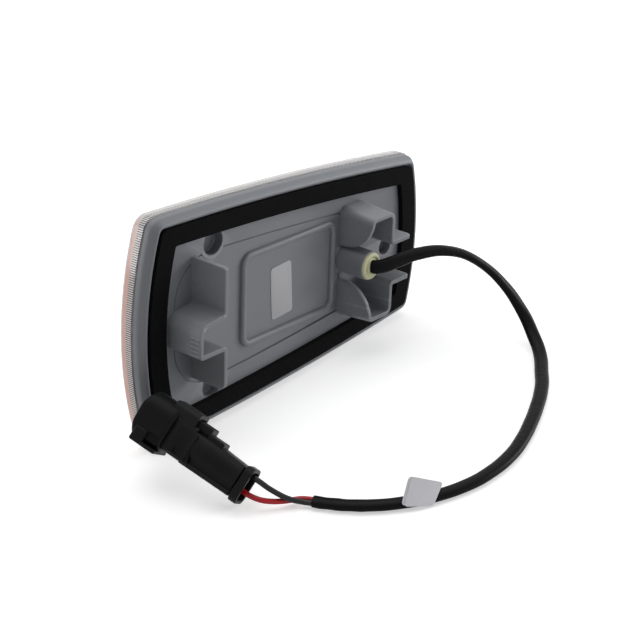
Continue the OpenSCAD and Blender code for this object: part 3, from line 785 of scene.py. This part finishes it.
class LAMP_OT_lead(bpy.types.Operator):
    """Build the flat sleeve and the two wires of the lead"""

    bl_idname = "lamp.lead"
    bl_label = "Lead"

    def execute(self, context):
        scene = context.scene
        sizes, colours = scene.lamp_sizes, scene.lamp_colours
        line = smooth_line(SLEEVE_ROUTE)
        last = len(line) - 1

        def swell(i, a):
            left = last - i
            grow = 1.0 + SLEEVE_WAVE * sin(i * WAVE_TURN + 2 * cos(a))
            if left < TIP_POINTS:
                grow += TIP_WAVE * sin(left * TIP_TURN + sin(a)) - TIP_SHRINK * (left < 2)
            return grow

        def twist(i):
            return pi / 2 * max(0.0, 1 - i / (TWIST_POINTS * SMOOTH_PARTS))

        width, height = sizes.sleeve_width / MM, sizes.sleeve_height / MM
        rings = tube_rings(line, width, height, SLEEVE_SIDES, swell, SLEEVE_POWER, twist)
        middle = line[-1]
        ahead = (middle - line[-2]).normalized()
        tip = [p + ahead * TIP_REACH for p in rings[-1]]
        lip, inner = ([middle + (p - middle) * share for p in tip] for share in TIP_SHARES)
        rings += [lip, [p - ahead * TIP_DEPTH for p in inner]]
        finish = cord_finish("sleeve_black", colours.sleeve, low=0.26, high=0.4, wrinkle=0.0002, shine=0.06)
        place("cable_sleeve_skin", cord_mesh(rings), LEAD, finish, "sleeve_black", ("cable_sleeve",))
        for name, side, middle_points, colour in (
            ("wire_black", 1, BLACK_MIDDLE, colours.sleeve),
            ("wire_red", -1, RED_MIDDLE, colours.red),
        ):
            diameter = sizes.wire_diameter / MM
            rings = tube_rings(smooth_line(wire_line(side, middle_points)), diameter, diameter, WIRE_SIDES)
            finish = cord_finish(name + "_skin", colour, low=0.25, high=0.38, wrinkle=0.00004, shine=0.3)
            place(name + "_skin", cord_mesh(rings), LEAD, finish, name, (name,))
        scene["lead_route"] = [c for p in line for c in LEAD @ p]
        return {"FINISHED"}


class LAMP_OT_declare_lead(bpy.types.Operator):
    bl_idname = "lamp.declare_lead"
    bl_label = "Declare lead"

    def execute(self, context):
        return {"FINISHED"}


# The lip as pairs of inset and share of its rise, from the lens's side to the land
LIP_CURVE = (
    (0.5, 0.6), (0.52, 0.38), (0.58, 0.18), (0.76, -0.02), (1.06, -0.24), (1.46, -0.54), (1.84, -0.8),
    (2.1, -0.93), (2.3, -0.99), (2.6, -1.0), (2.84, -0.97), (3.02, -0.82), (3.22, -0.5), (3.45, -0.2),
)
LAND_R = 2.2
# Rings of the panel and the flange as pairs of inset and depth
PANEL_INSET = 15
PANEL_RINGS = ((0.7, 0.0), (0.6, 0.3), (0.2, 0.3), (0.0, LAND_Y))
FLANGE_RINGS = ((FLANGE_STEP, FLANGE_Y), (3.0, FLANGE_Y), (3.2, PLATE_Y))
FLANGE_R = 2.0
POCKET_PLAY = 0.02
POCKET_SIDES = 48
PEG_X = (-45, 39)
PEG_Z = (-13, 13)
PEG_SIDES = 24
# Cups behind the pockets as pairs of step past the radius and depth
CUP_STEPS = ((-0.4, 3.2), (0, 2.8), (0, -0.2), (1.1, -0.2), (1.1, 3.5))
BEAD_SIZE = (43.2, 29.8, 3.2)
BEAD_STEPS = 12
BEAD_POWER = 0.7
BEAD_ROOT_Y = 0.6
# Profiles round a line along y, as pairs of radius and depth
BOSS_PROFILE = (
    (5.7, 0.6), (5.4, -0.05), (5.1, -0.25), (4.95, -0.6), (4.88, -10.8), (4.8, -11.1), (4.65, -11.2),
    (3.6, -11.2), (3.5, -11.0), (3.5, 1.2), (5.7, 1.2), (5.7, 0.6),
)
PEG_PROFILE = (
    (0, 1.5), (2.2, 1.5), (2.2, 3.2), (1.1, 3.2), (1.1, 4.85), (1.8, 4.9), (1.6, 5.3), (1.0, 5.5), (0, 5.5),
)
GROMMET_PROFILE = (
    (0, -12.06), (2.4, -12.06), (2.65, -11.75), (2.95, -11.7), (3.15, -11.9), (3.4, -12.0), (3.9, -11.98),
    (4.3, -11.85), (4.5, -11.6), (4.55, -11.3), (4.5, -11.22), (3.45, -11.2), (3.45, 1.8), (0, 1.8),
)


class LAMP_OT_housing(bpy.types.Operator):
    """Build the back plate with its lip, panel, bead, boss, blind pockets and board pegs"""

    bl_idname = "lamp.housing"
    bl_label = "Housing"

    def execute(self, context):
        sizes = context.scene.lamp_sizes
        grey = housing_finish()

        def panel(inset, y):
            flat = outline(PANEL_INSET + inset, PANEL_INSET - inset)
            return at_depth([Vector((min(p.x, PANEL_END_X - inset), p.y)) for p in flat], y)

        rings = [panel(inset, y) for inset, y in PANEL_RINGS]
        rings.append(at_depth(outline(LIP_W, LAND_R), LAND_Y))
        for inset, share in reversed(LIP_CURVE):
            rings.append(at_depth(outline(inset, max(LAND_R, CORNER_R - inset)), sizes.lip_rise / MM * share))
        for inset, y in FLANGE_RINGS:
            rings.append(at_depth(outline(inset, max(CORNER_R - inset, FLANGE_R)), y))
        body = lofted(rings)
        plate = place("housing_plate", body, LAMP, grey, "housing_grey", ("rear_housing",), PLATE_SHARP)
        cutters = bmesh.new()
        for x, z, d in POCKETS:
            r = d / 2 + POCKET_PLAY
            turned(cutters, ((0, -3), (r, -3), (r, 4), (0, 4)), x, z, POCKET_SIDES)
        bmesh.ops.remove_doubles(cutters, verts=cutters.verts, dist=MERGE)
        bmesh.ops.transform(cutters, matrix=LAMP, verts=cutters.verts)
        cut_holes(plate, cutters)

        bm = bmesh.new()
        for x, z, d in POCKETS:
            cup = [(d / 2 + step, y) for step, y in CUP_STEPS]
            turned(bm, ((0, cup[0][1]), *cup, (0, cup[-1][1])), x, z, POCKET_SIDES)
        place("pocket_cups", bm, LAMP, grey, "housing_grey")

        half, top = sizes.bead_width / MM / 2, sizes.bead_rise / MM
        w, h, r = BEAD_SIZE
        turns = [pi * k / BEAD_STEPS for k in range(BEAD_STEPS + 1)]
        levels = [(half * cos(a), -top * sin(a) ** BEAD_POWER) for a in turns]
        levels += [(-half, BEAD_ROOT_Y), (half, BEAD_ROOT_Y)]
        rings = [at_depth(round_rect(w + 2 * off, h + 2 * off, r + off, FINE_STEPS), y) for off, y in levels]
        place("label_bead", lofted([*rings, rings[0]], False), LAMP, grey, "housing_grey")

        bm = bmesh.new()
        turned(bm, BOSS_PROFILE, *BOSS)
        place("cable_boss", bm, LAMP, grey, "housing_grey")

        bm = bmesh.new()
        for x in PEG_X:
            for z in PEG_Z:
                turned(bm, PEG_PROFILE, x, z, PEG_SIDES)
        place("board_pegs", bm, LAMP, grey, "housing_grey")
        return {"FINISHED"}


TALL_X = -43.7
JOG_X = -54.2
JOG_Z = -4.5
TALL_PATH = ((TALL_X, 21.6), (TALL_X, 6.2), (JOG_X, 4.9), (JOG_X, JOG_Z), (TALL_X, JOG_Z), (TALL_X, -18.3))
TALL_RADII = (1.8, 3.0, 0.9, 1.3)
TALL_END_RADII = (0.9, 2.1)
TALL_STEP = 0.3
RIB_COUNT = 5
RIB_SIDES = 12
RIB_ROUND = 0.15
RIB_RADII = (0.44, 0.3)
RIB_LENGTH = 3.6
RIB_STEP = 1.4
RIB_Z = -3.7
RIB_Y = 2.1
SHORT_PATH = ((26.2, 6.0), (26.2, 18.7), (36.7, 18.7), (36.7, 7.1), (46.1, 7.1))
SHORT_RADII = (1.6, 2.1, 1.0)
SHORT_END_R = 0.9
SHORT_STEP = 0.25
# Free edge of the webs, as pairs of height from the lamp's middle and reach
WEB_EDGE = (
    (5.9, 0.4), (6.0, 2.6), (6.3, 4.6), (6.9, 6.8), (7.8, 8.6), (9.0, 10.0), (10.6, 11.4), (12.4, 12.4),
    (14.4, 13.1), (16.0, 13.6), (17.0, 13.8),
)
WEB_END_X = 28
# The short clips' arches lean out, more from this height on, over this rise
ARCH_DRAFT = 1.3
ARCH_START = 8
ARCH_RISE = 9


class LAMP_OT_clips(bpy.types.Operator):
    """Build the three snap clips"""

    bl_idname = "lamp.clips"
    bl_label = "Clips"

    def execute(self, context):
        sizes = context.scene.lamp_sizes
        reach, t = sizes.clip_reach / MM, sizes.clip_wall / MM
        edge = sizes.edge_round / MM
        grey = housing_finish()

        def tall_reach(gone, left, p):
            return reach - max(end_round(gone, TALL_END_RADII[0]), end_round(left, TALL_END_RADII[1]))

        bm = bmesh.new()
        wall(bm, rounded_path(TALL_PATH, TALL_RADII, TALL_STEP), t, tall_reach, edge)
        for i in range(RIB_COUNT):
            spot = Matrix.Translation((JOG_X - t / 2, -reach + RIB_Y, RIB_Z + RIB_STEP * i))
            made = bmesh.ops.create_cone(
                bm, cap_ends=True, segments=RIB_SIDES, radius1=RIB_RADII[0], radius2=RIB_RADII[1],
                depth=RIB_LENGTH, matrix=spot @ Matrix.Rotation(pi / 2, 4, "X"),
            )["verts"]
            edges = dict.fromkeys(e for v in made for e in v.link_edges)
            round_edges(bm, [e for e in edges if any(len(f.verts) > 4 for f in e.link_faces)], RIB_ROUND, 1)
        place("tall_end_clip", bm, LAMP, grey, "housing_grey")

        def web_reach(gone, left, p):
            full = reach - end_round(left, SHORT_END_R)
            if p.x > WEB_END_X:
                return full
            for (low, short), (high, long) in zip(WEB_EDGE, WEB_EDGE[1:]):
                if abs(p.y) <= high:
                    return min(full, short + (long - short) * max(abs(p.y) - low, 0.0) / (high - low))
            return full

        for name, side in (("short_end_clip_upper", 1), ("short_end_clip_lower", -1)):
            bm = bmesh.new()
            path = rounded_path([(x, side * z) for x, z in SHORT_PATH], SHORT_RADII, SHORT_STEP)
            wall(bm, path, t, web_reach, edge)
            for v in bm.verts:
                high = min(max((abs(v.co.z) - ARCH_START) / ARCH_RISE, 0.0), 1.0)
                v.co.z += side * ARCH_DRAFT * high * high * (3 - 2 * high) * v.co.y / reach
            place(name, bm, LAMP, grey, "housing_grey")
        return {"FINISHED"}


class LAMP_OT_gasket(bpy.types.Operator):
    """Give the gasket its foam and build the cream grommet"""

    bl_idname = "lamp.gasket"
    bl_label = "Gasket and grommet"

    def execute(self, context):
        dress(foam_finish(), "foam_gasket")
        colour = context.scene.lamp_colours.grommet
        bm = bmesh.new()
        turned(bm, GROMMET_PROFILE, *BOSS)
        # The cream rubber gets a painted highlight on its convex edges
        cream = plastic(
            "grommet_cream", colour, low=0.4, high=0.55, grain=1500.0, drift=0.25, depth=0.00006, edge_highlight=0.12
        )
        place("grommet", bm, LAMP, cream, "grommet_cream", ("cable_grommet",))
        return {"FINISHED"}


CROWN_STEPS = 8
FOOT_Y = FLANGE_Y + 0.02
DOME_R = 1.5
LENS_POINTS = 960
AMBER_POINTS = 480
AMBER_FOOT_Y = PLATE_Y + 0.05
# The flutes are full up to this share of the shoulder, then have this share of their depth, then fade
FLUTE_FULL = 0.7
FLUTE_REST = 0.5
FLUTE_FADE = 8
# Inset and drop of the amber lens's two faces
AMBER_FACES = ((3.4, 2.6), (4.6, 3.8))


def dome_slices():
    """Inset, depth and crown share of the lens from its shoulder to its crown."""
    slices = []
    for s in range(SHOULDER_STEPS + 1):
        a = pi / 2 * s / SHOULDER_STEPS
        slices.append((SHOULDER_R * (1 - cos(a)), SHOULDER_Y + SHOULDER_R * sin(a), 0.0))
    for s in range(1, CROWN_STEPS + 1):
        u = s / CROWN_STEPS
        inset = SHOULDER_R + (CROWN_INSET - SHOULDER_R) * u
        slices.append((inset, SHOULDER_Y + SHOULDER_R + CROWN_H * (1 - (1 - u) ** 2), u))
    return slices


def dome_rings(inset, drop, foot_y, count, depth=0.0):
    """Rings of a dome inside the outline, with flutes of this depth on its side wall."""
    rings = []
    for own, y, u in [(0.0, foot_y + drop, 0.0), *dome_slices()]:
        total = own + inset * (1 - u) + u * LENS_STEP
        ring = evenly(outline(total, max(CORNER_R - LENS_STEP - inset / 2, DOME_R)), count)
        middle = sum(ring, Vector((0, 0))) / count
        fade = depth * max(0.0, 1 - u * FLUTE_FADE) * (1.0 if own < SHOULDER_R * FLUTE_FULL else FLUTE_REST)
        if fade:
            outward = [(p - middle).normalized() * fade for p in ring]
            ring = [p + step * (1 if k % 2 else -1) / 2 for k, (p, step) in enumerate(zip(ring, outward))]
        rings.append(at_depth(ring, y - drop))
    return rings


def wall_mesh(rings):
    """A closed band through the rings, mapped in millimetres by the way round its edge and the depth."""
    bm = lofted([*rings, rings[0]], False)
    layer = bm.loops.layers.uv.new("wall")
    count = len(rings[0])
    foot = rings[len(rings) // 2]
    pitch = sum((b - a).length for a, b in zip(foot, foot[1:])) / (count - 1)
    bm.verts.index_update()
    for face in bm.faces:
        turns = [loop.vert.index % count for loop in face.loops]
        joins = max(turns) - min(turns) > count / 2
        for loop, k in zip(face.loops, turns):
            loop[layer].uv = ((k + count if joins and k < count / 2 else k) * pitch, loop.vert.co.y)
    return bm


class LAMP_OT_lens(bpy.types.Operator):
    """Build the clear lens with its flutes and the amber lens behind it"""

    bl_idname = "lamp.lens"
    bl_label = "Lens"

    def execute(self, context):
        sizes = context.scene.lamp_sizes
        wall_t, flutes = sizes.lens_wall / MM, sizes.flute_depth / MM
        outer = dome_rings(LENS_STEP, 0.0, FOOT_Y, LENS_POINTS)
        inner = dome_rings(LENS_STEP + wall_t, wall_t, FOOT_Y, LENS_POINTS, flutes)
        seam = SHOULDER_STEPS + 1
        band = wall_mesh([*reversed(outer[: seam + 1]), *inner[: seam + 1]])
        place("lens_wall", band, LAMP, wall_finish(), "lens_clear", ("outer_lens",), LENS_SHARP)
        front = lofted([*reversed(outer[seam:]), *inner[seam:]])
        place("lens_front", front, LAMP, clear_finish(), "lens_clear", ("outer_lens",), LENS_SHARP)
        outer, inner = (dome_rings(*face, AMBER_FOOT_Y, AMBER_POINTS) for face in AMBER_FACES)
        shell = lofted([*reversed(outer), *inner])
        place("amber_shell", shell, LAMP, amber_finish(), "lens_amber", ("amber_inner_lens",), LENS_SHARP)
        return {"FINISHED"}


LEDS = [f"led_{i}" for i in range(1, 7)]
RESISTORS = [f"resistor_{i}" for i in range(1, 5)]


class LAMP_OT_board(bpy.types.Operator):
    """Give the circuit board and the parts on it their finishes"""

    bl_idname = "lamp.board"
    bl_label = "Circuit board"

    def execute(self, context):
        colours = context.scene.lamp_colours
        # Name, colour, lowest and highest roughness, grain and drift
        for look, nodes in (
            (("reflector_white", (0.75, 0.75, 0.76), 0.15, 0.3, 900.0, 0.04), ["reflector_plate"]),
            (("board_green", (0.03, 0.16, 0.06), 0.25, 0.4, 700.0, 0.3), ["circuit_board"]),
            (("led_yellow", (0.8, 0.62, 0.2), 0.2, 0.35, 1200.0, 0.1), LEDS),
            (("resistor_black", (0.02, 0.02, 0.022), 0.3, 0.5), RESISTORS),
            (("diode_black", (0.015, 0.015, 0.015), 0.4, 0.6), ["protection_diode"]),
            (("inner_black", colours.sleeve, 0.3, 0.4), ["inner_wire_black"]),
            (("inner_red", colours.red, 0.3, 0.4), ["inner_wire_red"]),
        ):
            dress(plastic(*look), *nodes)
        return {"FINISHED"}


# Sections of the plug, looked at along it, and its levels along y
REAR_SECTION = (
    (-2.4, 5.0), (-3.5, 4.7), (-4.2, 3.9), (-4.7, 2.8), (-5.05, 1.6), (-5.2, 0.5), (-5.15, -0.5),
    (-4.9, -1.4), (-4.5, -2.2), (-4.1, -2.9), (-3.85, -3.6), (-3.8, -4.1), (-4.1, -4.35), (-4.3, -4.7),
    (-4.2, -5.2), (-3.8, -5.6), (-3.0, -5.8), (2.6, -5.8), (3.8, -5.3), (4.3, -4.2), (4.3, 3.4),
    (3.9, 4.5), (2.6, 5.0),
)
REAR_TOP = 2.9
# Share of the section, fall of its top and level
REAR_RINGS = ((0.95, 0.8, 3.0), (1.0, 0.75, 3.3), (1.0, 0.4, 9.0), (1.0, 0.0, 14.0), (1.0, 0.0, 20.8))
MID_SIZE = (10.8, 12.2, 1.8, 0.3)
# Each ring is what it is cut from its size and its level, which MOUTH_RINGS count back from the mouth
MID_RINGS = ((1.6, 0.0), (1.0, 0.1), (0.7, 0.5))
MID_STRAIGHT = (27.0, 27.4)
# Its end is level above the turn, and slants back below it over this height
MID_Y = 20.4
MID_TURN_Z = 1.5
MID_SLANT = 3.0
MID_SLANT_H = 7.0
HOOD_SIZE = (13.0, 15.8, 5.4, 0.5)
HOOD_RINGS = ((2.6, 27.5), (1.2, 27.7), (0.3, 28.3), (0.0, 29.2))
MOUTH_RINGS = ((0.0, 1.6), (0.0, 0.5), (0.25, 0.12), (0.7, 0.0), (2.3, 0.0), (2.7, 0.3), (2.9, 1.2))
MOUTH_R = 1.6
MOUTH_Y = 38.9
MOUTH_TOP_Z = 1.3
MOUTH_CURVE = 0.03
BORE_RINGS = ((3.0, 30.0), (5.0, 29.2), (5.2, 25.6))
# Low corner, high corner and rounding of the blocks on the plug
PLUG_BLOCKS = (
    ((-6.75, 32.6, -7.65), (6.3, 36.8, -2.9), 0.6, 3),
    ((-6.75, 27.7, -7.65), (5.6, 33.2, -6.5), 0.4, 2),
)
PLUG_RAILS = (
    ((-3.2, 16.9, 3.6), (3.2, 28.4, 7.8), 0.35, 2),
    ((-3.2, 11.8, 3.6), (3.2, 28.4, 6.1), 0.35, 2),
)
NOTCH = ((-9.0, 28.5, -6.5), (-5.35, 32.6, -2.7), 0.2, 1)
COLLAR_Z = -0.8
COLLAR_RINGS = (
    (5.0, 8.0, 1.4, 3.2), (9.1, 11.3, 2.3, 2.6), (9.4, 11.6, 2.4, 2.35), (9.4, 11.6, 2.4, 0.25),
    (9.0, 11.2, 2.2, 0.0), (7.4, 9.6, 1.4, 0.0), (7.0, 9.2, 1.2, 0.3), (7.0, 9.2, 1.2, 1.7),
)
ARCH_Z = 5.8
ARCH_RINGS = ((9.6, 7.4, 1.8, 22.0), (9.6, 7.4, 1.8, 30.6), (7.2, 5.0, 1.2, 30.6), (7.2, 5.0, 1.2, 22.0))
LOCK = ((-5.45, 19.5, -4.6), (-4.4, 26.7, 4.6), 0.12, 1)
PIT_Y = (22.2, 23.8)
PIT_Z = (-3.9, -2.5)
PIT_DEPTH = 0.6


class LAMP_OT_plug(bpy.types.Operator):
    """Build the sealed two-way plug"""

    bl_idname = "lamp.plug"
    bl_label = "Plug"

    def execute(self, context):
        colour = context.scene.lamp_colours.plug
        # The black plastic gets a faint painted highlight on its convex edges
        black = plastic(
            "plug_black", colour, low=0.34, high=0.48, grain=1600.0, drift=0.3, depth=0.00003, edge_highlight=0.01,
            shine=0.09,
        )

        def level(size, y, cut=0.0, r=None):
            w, h, corner, z = size
            flat = round_rect(w - cut, h - cut, corner if r is None else r, FINE_STEPS)
            return [Vector((p.x, y(p.y + z) if callable(y) else y, p.y + z)) for p in flat]

        def mouth(z):
            return MOUTH_Y - MOUTH_CURVE * (z - MOUTH_TOP_Z) ** 2

        def mid_end(z):
            return MID_Y - MID_SLANT * min(max((MID_TURN_Z - z) / MID_SLANT_H, 0.0), 1.0)

        def hood(cut, y, least=0.0):
            return level(HOOD_SIZE, y, cut, max(HOOD_SIZE[2] - cut / 2, least))

        rings = [level(MID_SIZE, lambda z, y=y: mid_end(z) + y, cut) for cut, y in MID_RINGS]
        rings += [level(MID_SIZE, y, MID_RINGS[-1][0]) for y in MID_STRAIGHT]
        rings += [hood(*pair) for pair in HOOD_RINGS]
        rings += [hood(cut, lambda z, back=back: mouth(z) - back, MOUTH_R) for cut, back in MOUTH_RINGS]
        rings += [hood(*pair) for pair in BORE_RINGS]
        bm = lofted(rings)
        for part in PLUG_BLOCKS:
            block(bm, *part)
        rings = []
        for share, fall, y in REAR_RINGS:
            section = [(x * share, (z - (fall if z > REAR_TOP else 0)) * share) for x, z in REAR_SECTION]
            rings.append(at_depth([Vector(p) for p in section], y))
        loft(bm, rings)
        for part in PLUG_RAILS:
            block(bm, *part)

        def raised(rings, z):
            return [[p + Vector((0, 0, z)) for p in at_depth(round_rect(t, w, r), y)] for t, w, r, y in rings]

        loft(bm, raised(COLLAR_RINGS, COLLAR_Z))
        loft(bm, raised((*ARCH_RINGS, ARCH_RINGS[0]), ARCH_Z), False)
        shell = place("plug_shell", bm, PLUG, black, "plug_black", ("plug_body",), PLUG_SHARP)
        notch = bmesh.new()
        block(notch, *NOTCH)
        bmesh.ops.transform(notch, matrix=PLUG, verts=notch.verts)
        cut_holes(shell, notch)
        shell.modifiers.new("even_shading", "WEIGHTED_NORMAL").keep_sharp = True

        bm = bmesh.new()
        block(bm, *LOCK)
        for axis, levels in ((Vector((0, 1, 0)), PIT_Y), (Vector((0, 0, 1)), PIT_Z)):
            for at in levels:
                whole = [*bm.verts, *bm.edges, *bm.faces]
                bmesh.ops.bisect_plane(bm, geom=whole, plane_co=axis * at, plane_no=axis)
        pit = []
        for f in bm.faces:
            middle = f.calc_center_median()
            if f.normal.x < -0.9 and PIT_Y[0] < middle.y < PIT_Y[1] and PIT_Z[0] < middle.z < PIT_Z[1]:
                pit.append(f)
        made = bmesh.ops.extrude_face_region(bm, geom=pit)["geom"]
        sunk = [v for v in made if isinstance(v, bmesh.types.BMVert)]
        bmesh.ops.translate(bm, vec=(PIT_DEPTH, 0, 0), verts=sunk)
        bmesh.ops.delete(bm, geom=pit, context="FACES_ONLY")
        place("plug_lock_plate", bm, PLUG, black, "lock_black", ("plug_lock",), PLUG_SHARP)

        seal = plastic("seal_red", (0.3, 0.03, 0.02), low=0.4, high=0.6)
        dress(seal, "wire_seal_black", "wire_seal_red")
        dress(metal_finish(), "terminal_black", "terminal_red")
        return {"FINISHED"}


LABEL_SIZE = (10, 18, 1.3)
LABEL_AT = Vector((-3, -1.6))
LABEL_TURN = 4
LABEL_RINGS = ((0.15, -0.2), (0.0, -0.14), (0.0, 0.0))
FLAG_W = 10.6
FLAG_CORNER = 1.2
FLAG_STEP = 2.3
FLAG_LEAN = 20
FLAG_TURN = -11
FLAG_T = 0.09
FLAG_GRID = (22, 18)
FLAG_FRONT = 0.12
FLAG_WAVE = 0.1
FLAG_TURNS = (0.45, 0.2)
# Shift, place behind, low edge and high edge of the flag's two layers
FLAG_LAYERS = ((0.0, 0.0, -1.0, 7.8), (0.9, -0.16, -0.6, 7.9))
FLAG_TAPER = 0.24
FLAG_SHEAR = (1.8, 1.2)
# The flag's film is the label's film painted this many times lighter: a painted lit copy of it
FLAG_PAINTED_LIGHT = 1.9


class LAMP_OT_labels(bpy.types.Operator):
    """Build the bare label on the panel and the bare flag on the lead"""

    bl_idname = "lamp.labels"
    bl_label = "Labels"

    def execute(self, context):
        colour = context.scene.lamp_colours.label
        film = {"high": 0.6, "grain": 1200.0, "drift": 0.06, "depth": 0.00001}
        white = plastic("label_white", colour, low=0.45, **film)
        turn = Matrix.Rotation(radians(LABEL_TURN), 2)
        w, h, r = LABEL_SIZE
        rings = []
        for off, y in LABEL_RINGS:
            flat = round_rect(w - 2 * off, h - 2 * off, r - off)
            rings.append(at_depth([turn @ p + LABEL_AT for p in flat], y))
        place("bare_label", lofted(rings), LAMP, white, "label_white", ("date_label",))

        before, here, after = (Vector(p) for p in SLEEVE_ROUTE[FLAG_POINT - 1 : FLAG_POINT + 2])
        along = (after - before).normalized()
        spot = (
            LEAD
            @ Matrix.Translation(here)
            @ Matrix.Rotation(atan2(along.y, along.x), 4, "Z")
            @ Matrix.Translation((0, FLAG_STEP, 0))
            @ Matrix.Rotation(radians(FLAG_LEAN), 4, "X")
            @ Matrix.Rotation(radians(FLAG_TURN), 4, "Y")
        )
        bm = bmesh.new()
        half = FLAG_W / 2
        for shift, behind, low, high in FLAG_LAYERS:
            across, up = FLAG_GRID
            made = bmesh.ops.create_grid(bm, x_segments=across, y_segments=up, size=0.5)["verts"]
            bmesh.ops.scale(bm, vec=(FLAG_W, high - low, 1), verts=made)
            for v in made:
                u, w = v.co.x, v.co.y + (low + high) / 2
                past_u = max(abs(u) - (half - FLAG_CORNER), 0.0)
                past_w = max(w - (high - FLAG_CORNER), 0.0, low + FLAG_CORNER - w)
                far = hypot(past_u, past_w)
                if past_u and past_w and far > FLAG_CORNER:
                    u -= (1 if u > 0 else -1) * past_u * (1 - FLAG_CORNER / far)
                    w -= (1 if w > (low + high) / 2 else -1) * past_w * (1 - FLAG_CORNER / far)
                side = (half - u) / FLAG_W
                w *= 1 - FLAG_TAPER * side * max(w / high, 0.0)
                u += (FLAG_SHEAR[0] + FLAG_SHEAR[1] * side) * (1 - w / high)
                bend = FLAG_FRONT + FLAG_WAVE * sin(u * FLAG_TURNS[0] + w * FLAG_TURNS[1])
                v.co = Vector((u + shift, bend + behind, w))
        bmesh.ops.solidify(bm, geom=bm.faces[:], thickness=FLAG_T)
        # The flag's film is a painted lit copy of the label's film, made lighter by a factor
        lit_colour = [min(1.0, c * FLAG_PAINTED_LIGHT) for c in colour]
        lit_film = plastic("flag_film_painted_lit", lit_colour, low=0.4, **film)
        place("flag", bm, spot, lit_film, "label_white", ("flag_label",))
        return {"FINISHED"}


# Name, watts, size and place of each soft light
LIGHTS = (
    ("key", 6.6, 1.1, (0.1, 0.2, 1.0)),
    ("side", 5.4, 0.5, (0.95, -0.5, 0.3)),
    ("low", 1.1, 0.4, (0.35, -0.8, 0.06)),
    ("back", 2.6, 0.5, (-0.8, 0.75, 0.2)),
)
LIT_POINT = Vector((0, 0, 0.03))
WORLD_LEVEL = 0.22
FLOOR_GLOW = 0.5
FLOOR_ROUGH = 0.9
FLOOR_SIZE = 8
FLOOR_Z = -0.0002


def seen_plainly(tree):
    """A mask that is 1 for rays from the camera, a reflection or a clear piece."""
    path = node(tree, "LightPath", {}).outputs
    seen = maths(tree, "MAXIMUM", path["Is Camera Ray"], path["Is Glossy Ray"])
    return maths(tree, "MAXIMUM", seen, path["Is Transmission Ray"])


class LAMP_OT_stage(bpy.types.Operator):
    """Set the pale floor, the soft lights and the world"""

    bl_idname = "lamp.stage"
    bl_label = "Stage"

    def execute(self, context):
        scene = context.scene
        scene.view_settings.view_transform = "Standard"
        bm = bmesh.new()
        bmesh.ops.create_grid(bm, x_segments=2, y_segments=2, size=FLOOR_SIZE)
        mesh = bpy.data.meshes.new("floor")
        bm.to_mesh(mesh)
        bm.free()
        floor = bpy.data.objects.new("floor", mesh)
        scene.collection.objects.link(floor)
        floor.location.z = FLOOR_Z
        made, tree, shader = blank("floor")
        fill(tree, shader, {"Base Color": (*scene.lamp_colours.floor, 1), "Roughness": FLOOR_ROUGH})
        glow = node(tree, "Emission", {"Strength": maths(tree, "MULTIPLY", seen_plainly(tree), FLOOR_GLOW)})
        both = node(tree, "AddShader", {0: shader.outputs[0], 1: glow.outputs[0]})
        fill(tree, tree.nodes["Material Output"], {"Surface": both.outputs[0]})
        mesh.materials.append(made)

        world = bpy.data.worlds.new("studio")
        world.use_nodes = True
        scene.world = world
        tree = world.node_tree
        level = between(tree, seen_plainly(tree), WORLD_LEVEL, 1.0)
        fill(tree, tree.nodes["Background"], {"Color": (1, 1, 1, 1), "Strength": level})

        for name, power, size, spot in LIGHTS:
            data = bpy.data.lights.new(name, "AREA")
            data.energy = power
            data.size = size
            lamp = bpy.data.objects.new(name, data)
            scene.collection.objects.link(lamp)
            lamp.location = spot
            lamp.rotation_euler = (LIT_POINT - Vector(spot)).to_track_quat("-Z", "Y").to_euler()
        return {"FINISHED"}


class LAMP_PT_panel(bpy.types.Panel):
    """The lamp's pieces, sizes and colours"""

    bl_idname = "LAMP_PT_panel"
    bl_label = "Side repeater lamp"
    bl_space_type = "VIEW_3D"
    bl_region_type = "UI"
    bl_category = "Lamp"

    def draw(self, context):
        for step in STEPS:
            self.layout.operator(step.bl_idname)
        for group in (context.scene.lamp_sizes, context.scene.lamp_colours):
            box = self.layout.box()
            for name in group.__annotations__:
                box.prop(group, name)


STEPS = (
    LAMP_OT_camera,
    LAMP_OT_lead,
    LAMP_OT_plug,
    LAMP_OT_labels,
    LAMP_OT_declare_lead,
    LAMP_OT_housing,
    LAMP_OT_clips,
    LAMP_OT_gasket,
    LAMP_OT_lens,
    LAMP_OT_board,
    LAMP_OT_stage,
)
CLASSES = (LampSizes, LampColours, *STEPS, LAMP_PT_panel)


def register():
    """Registers the classes and the scene's properties."""
    for c in CLASSES:
        bpy.utils.register_class(c)
    bpy.types.Scene.lamp_sizes = PointerProperty(type=LampSizes)
    bpy.types.Scene.lamp_colours = PointerProperty(type=LampColours)


def unregister():
    """Takes the classes and the scene's properties away."""
    del bpy.types.Scene.lamp_colours
    del bpy.types.Scene.lamp_sizes
    for c in reversed(CLASSES):
        bpy.utils.unregister_class(c)


def main():
    """Builds every piece in order."""
    register()
    for step in STEPS:
        getattr(bpy.ops.lamp, step.bl_idname.removeprefix("lamp."))()


if __name__ == "__main__":
    main()
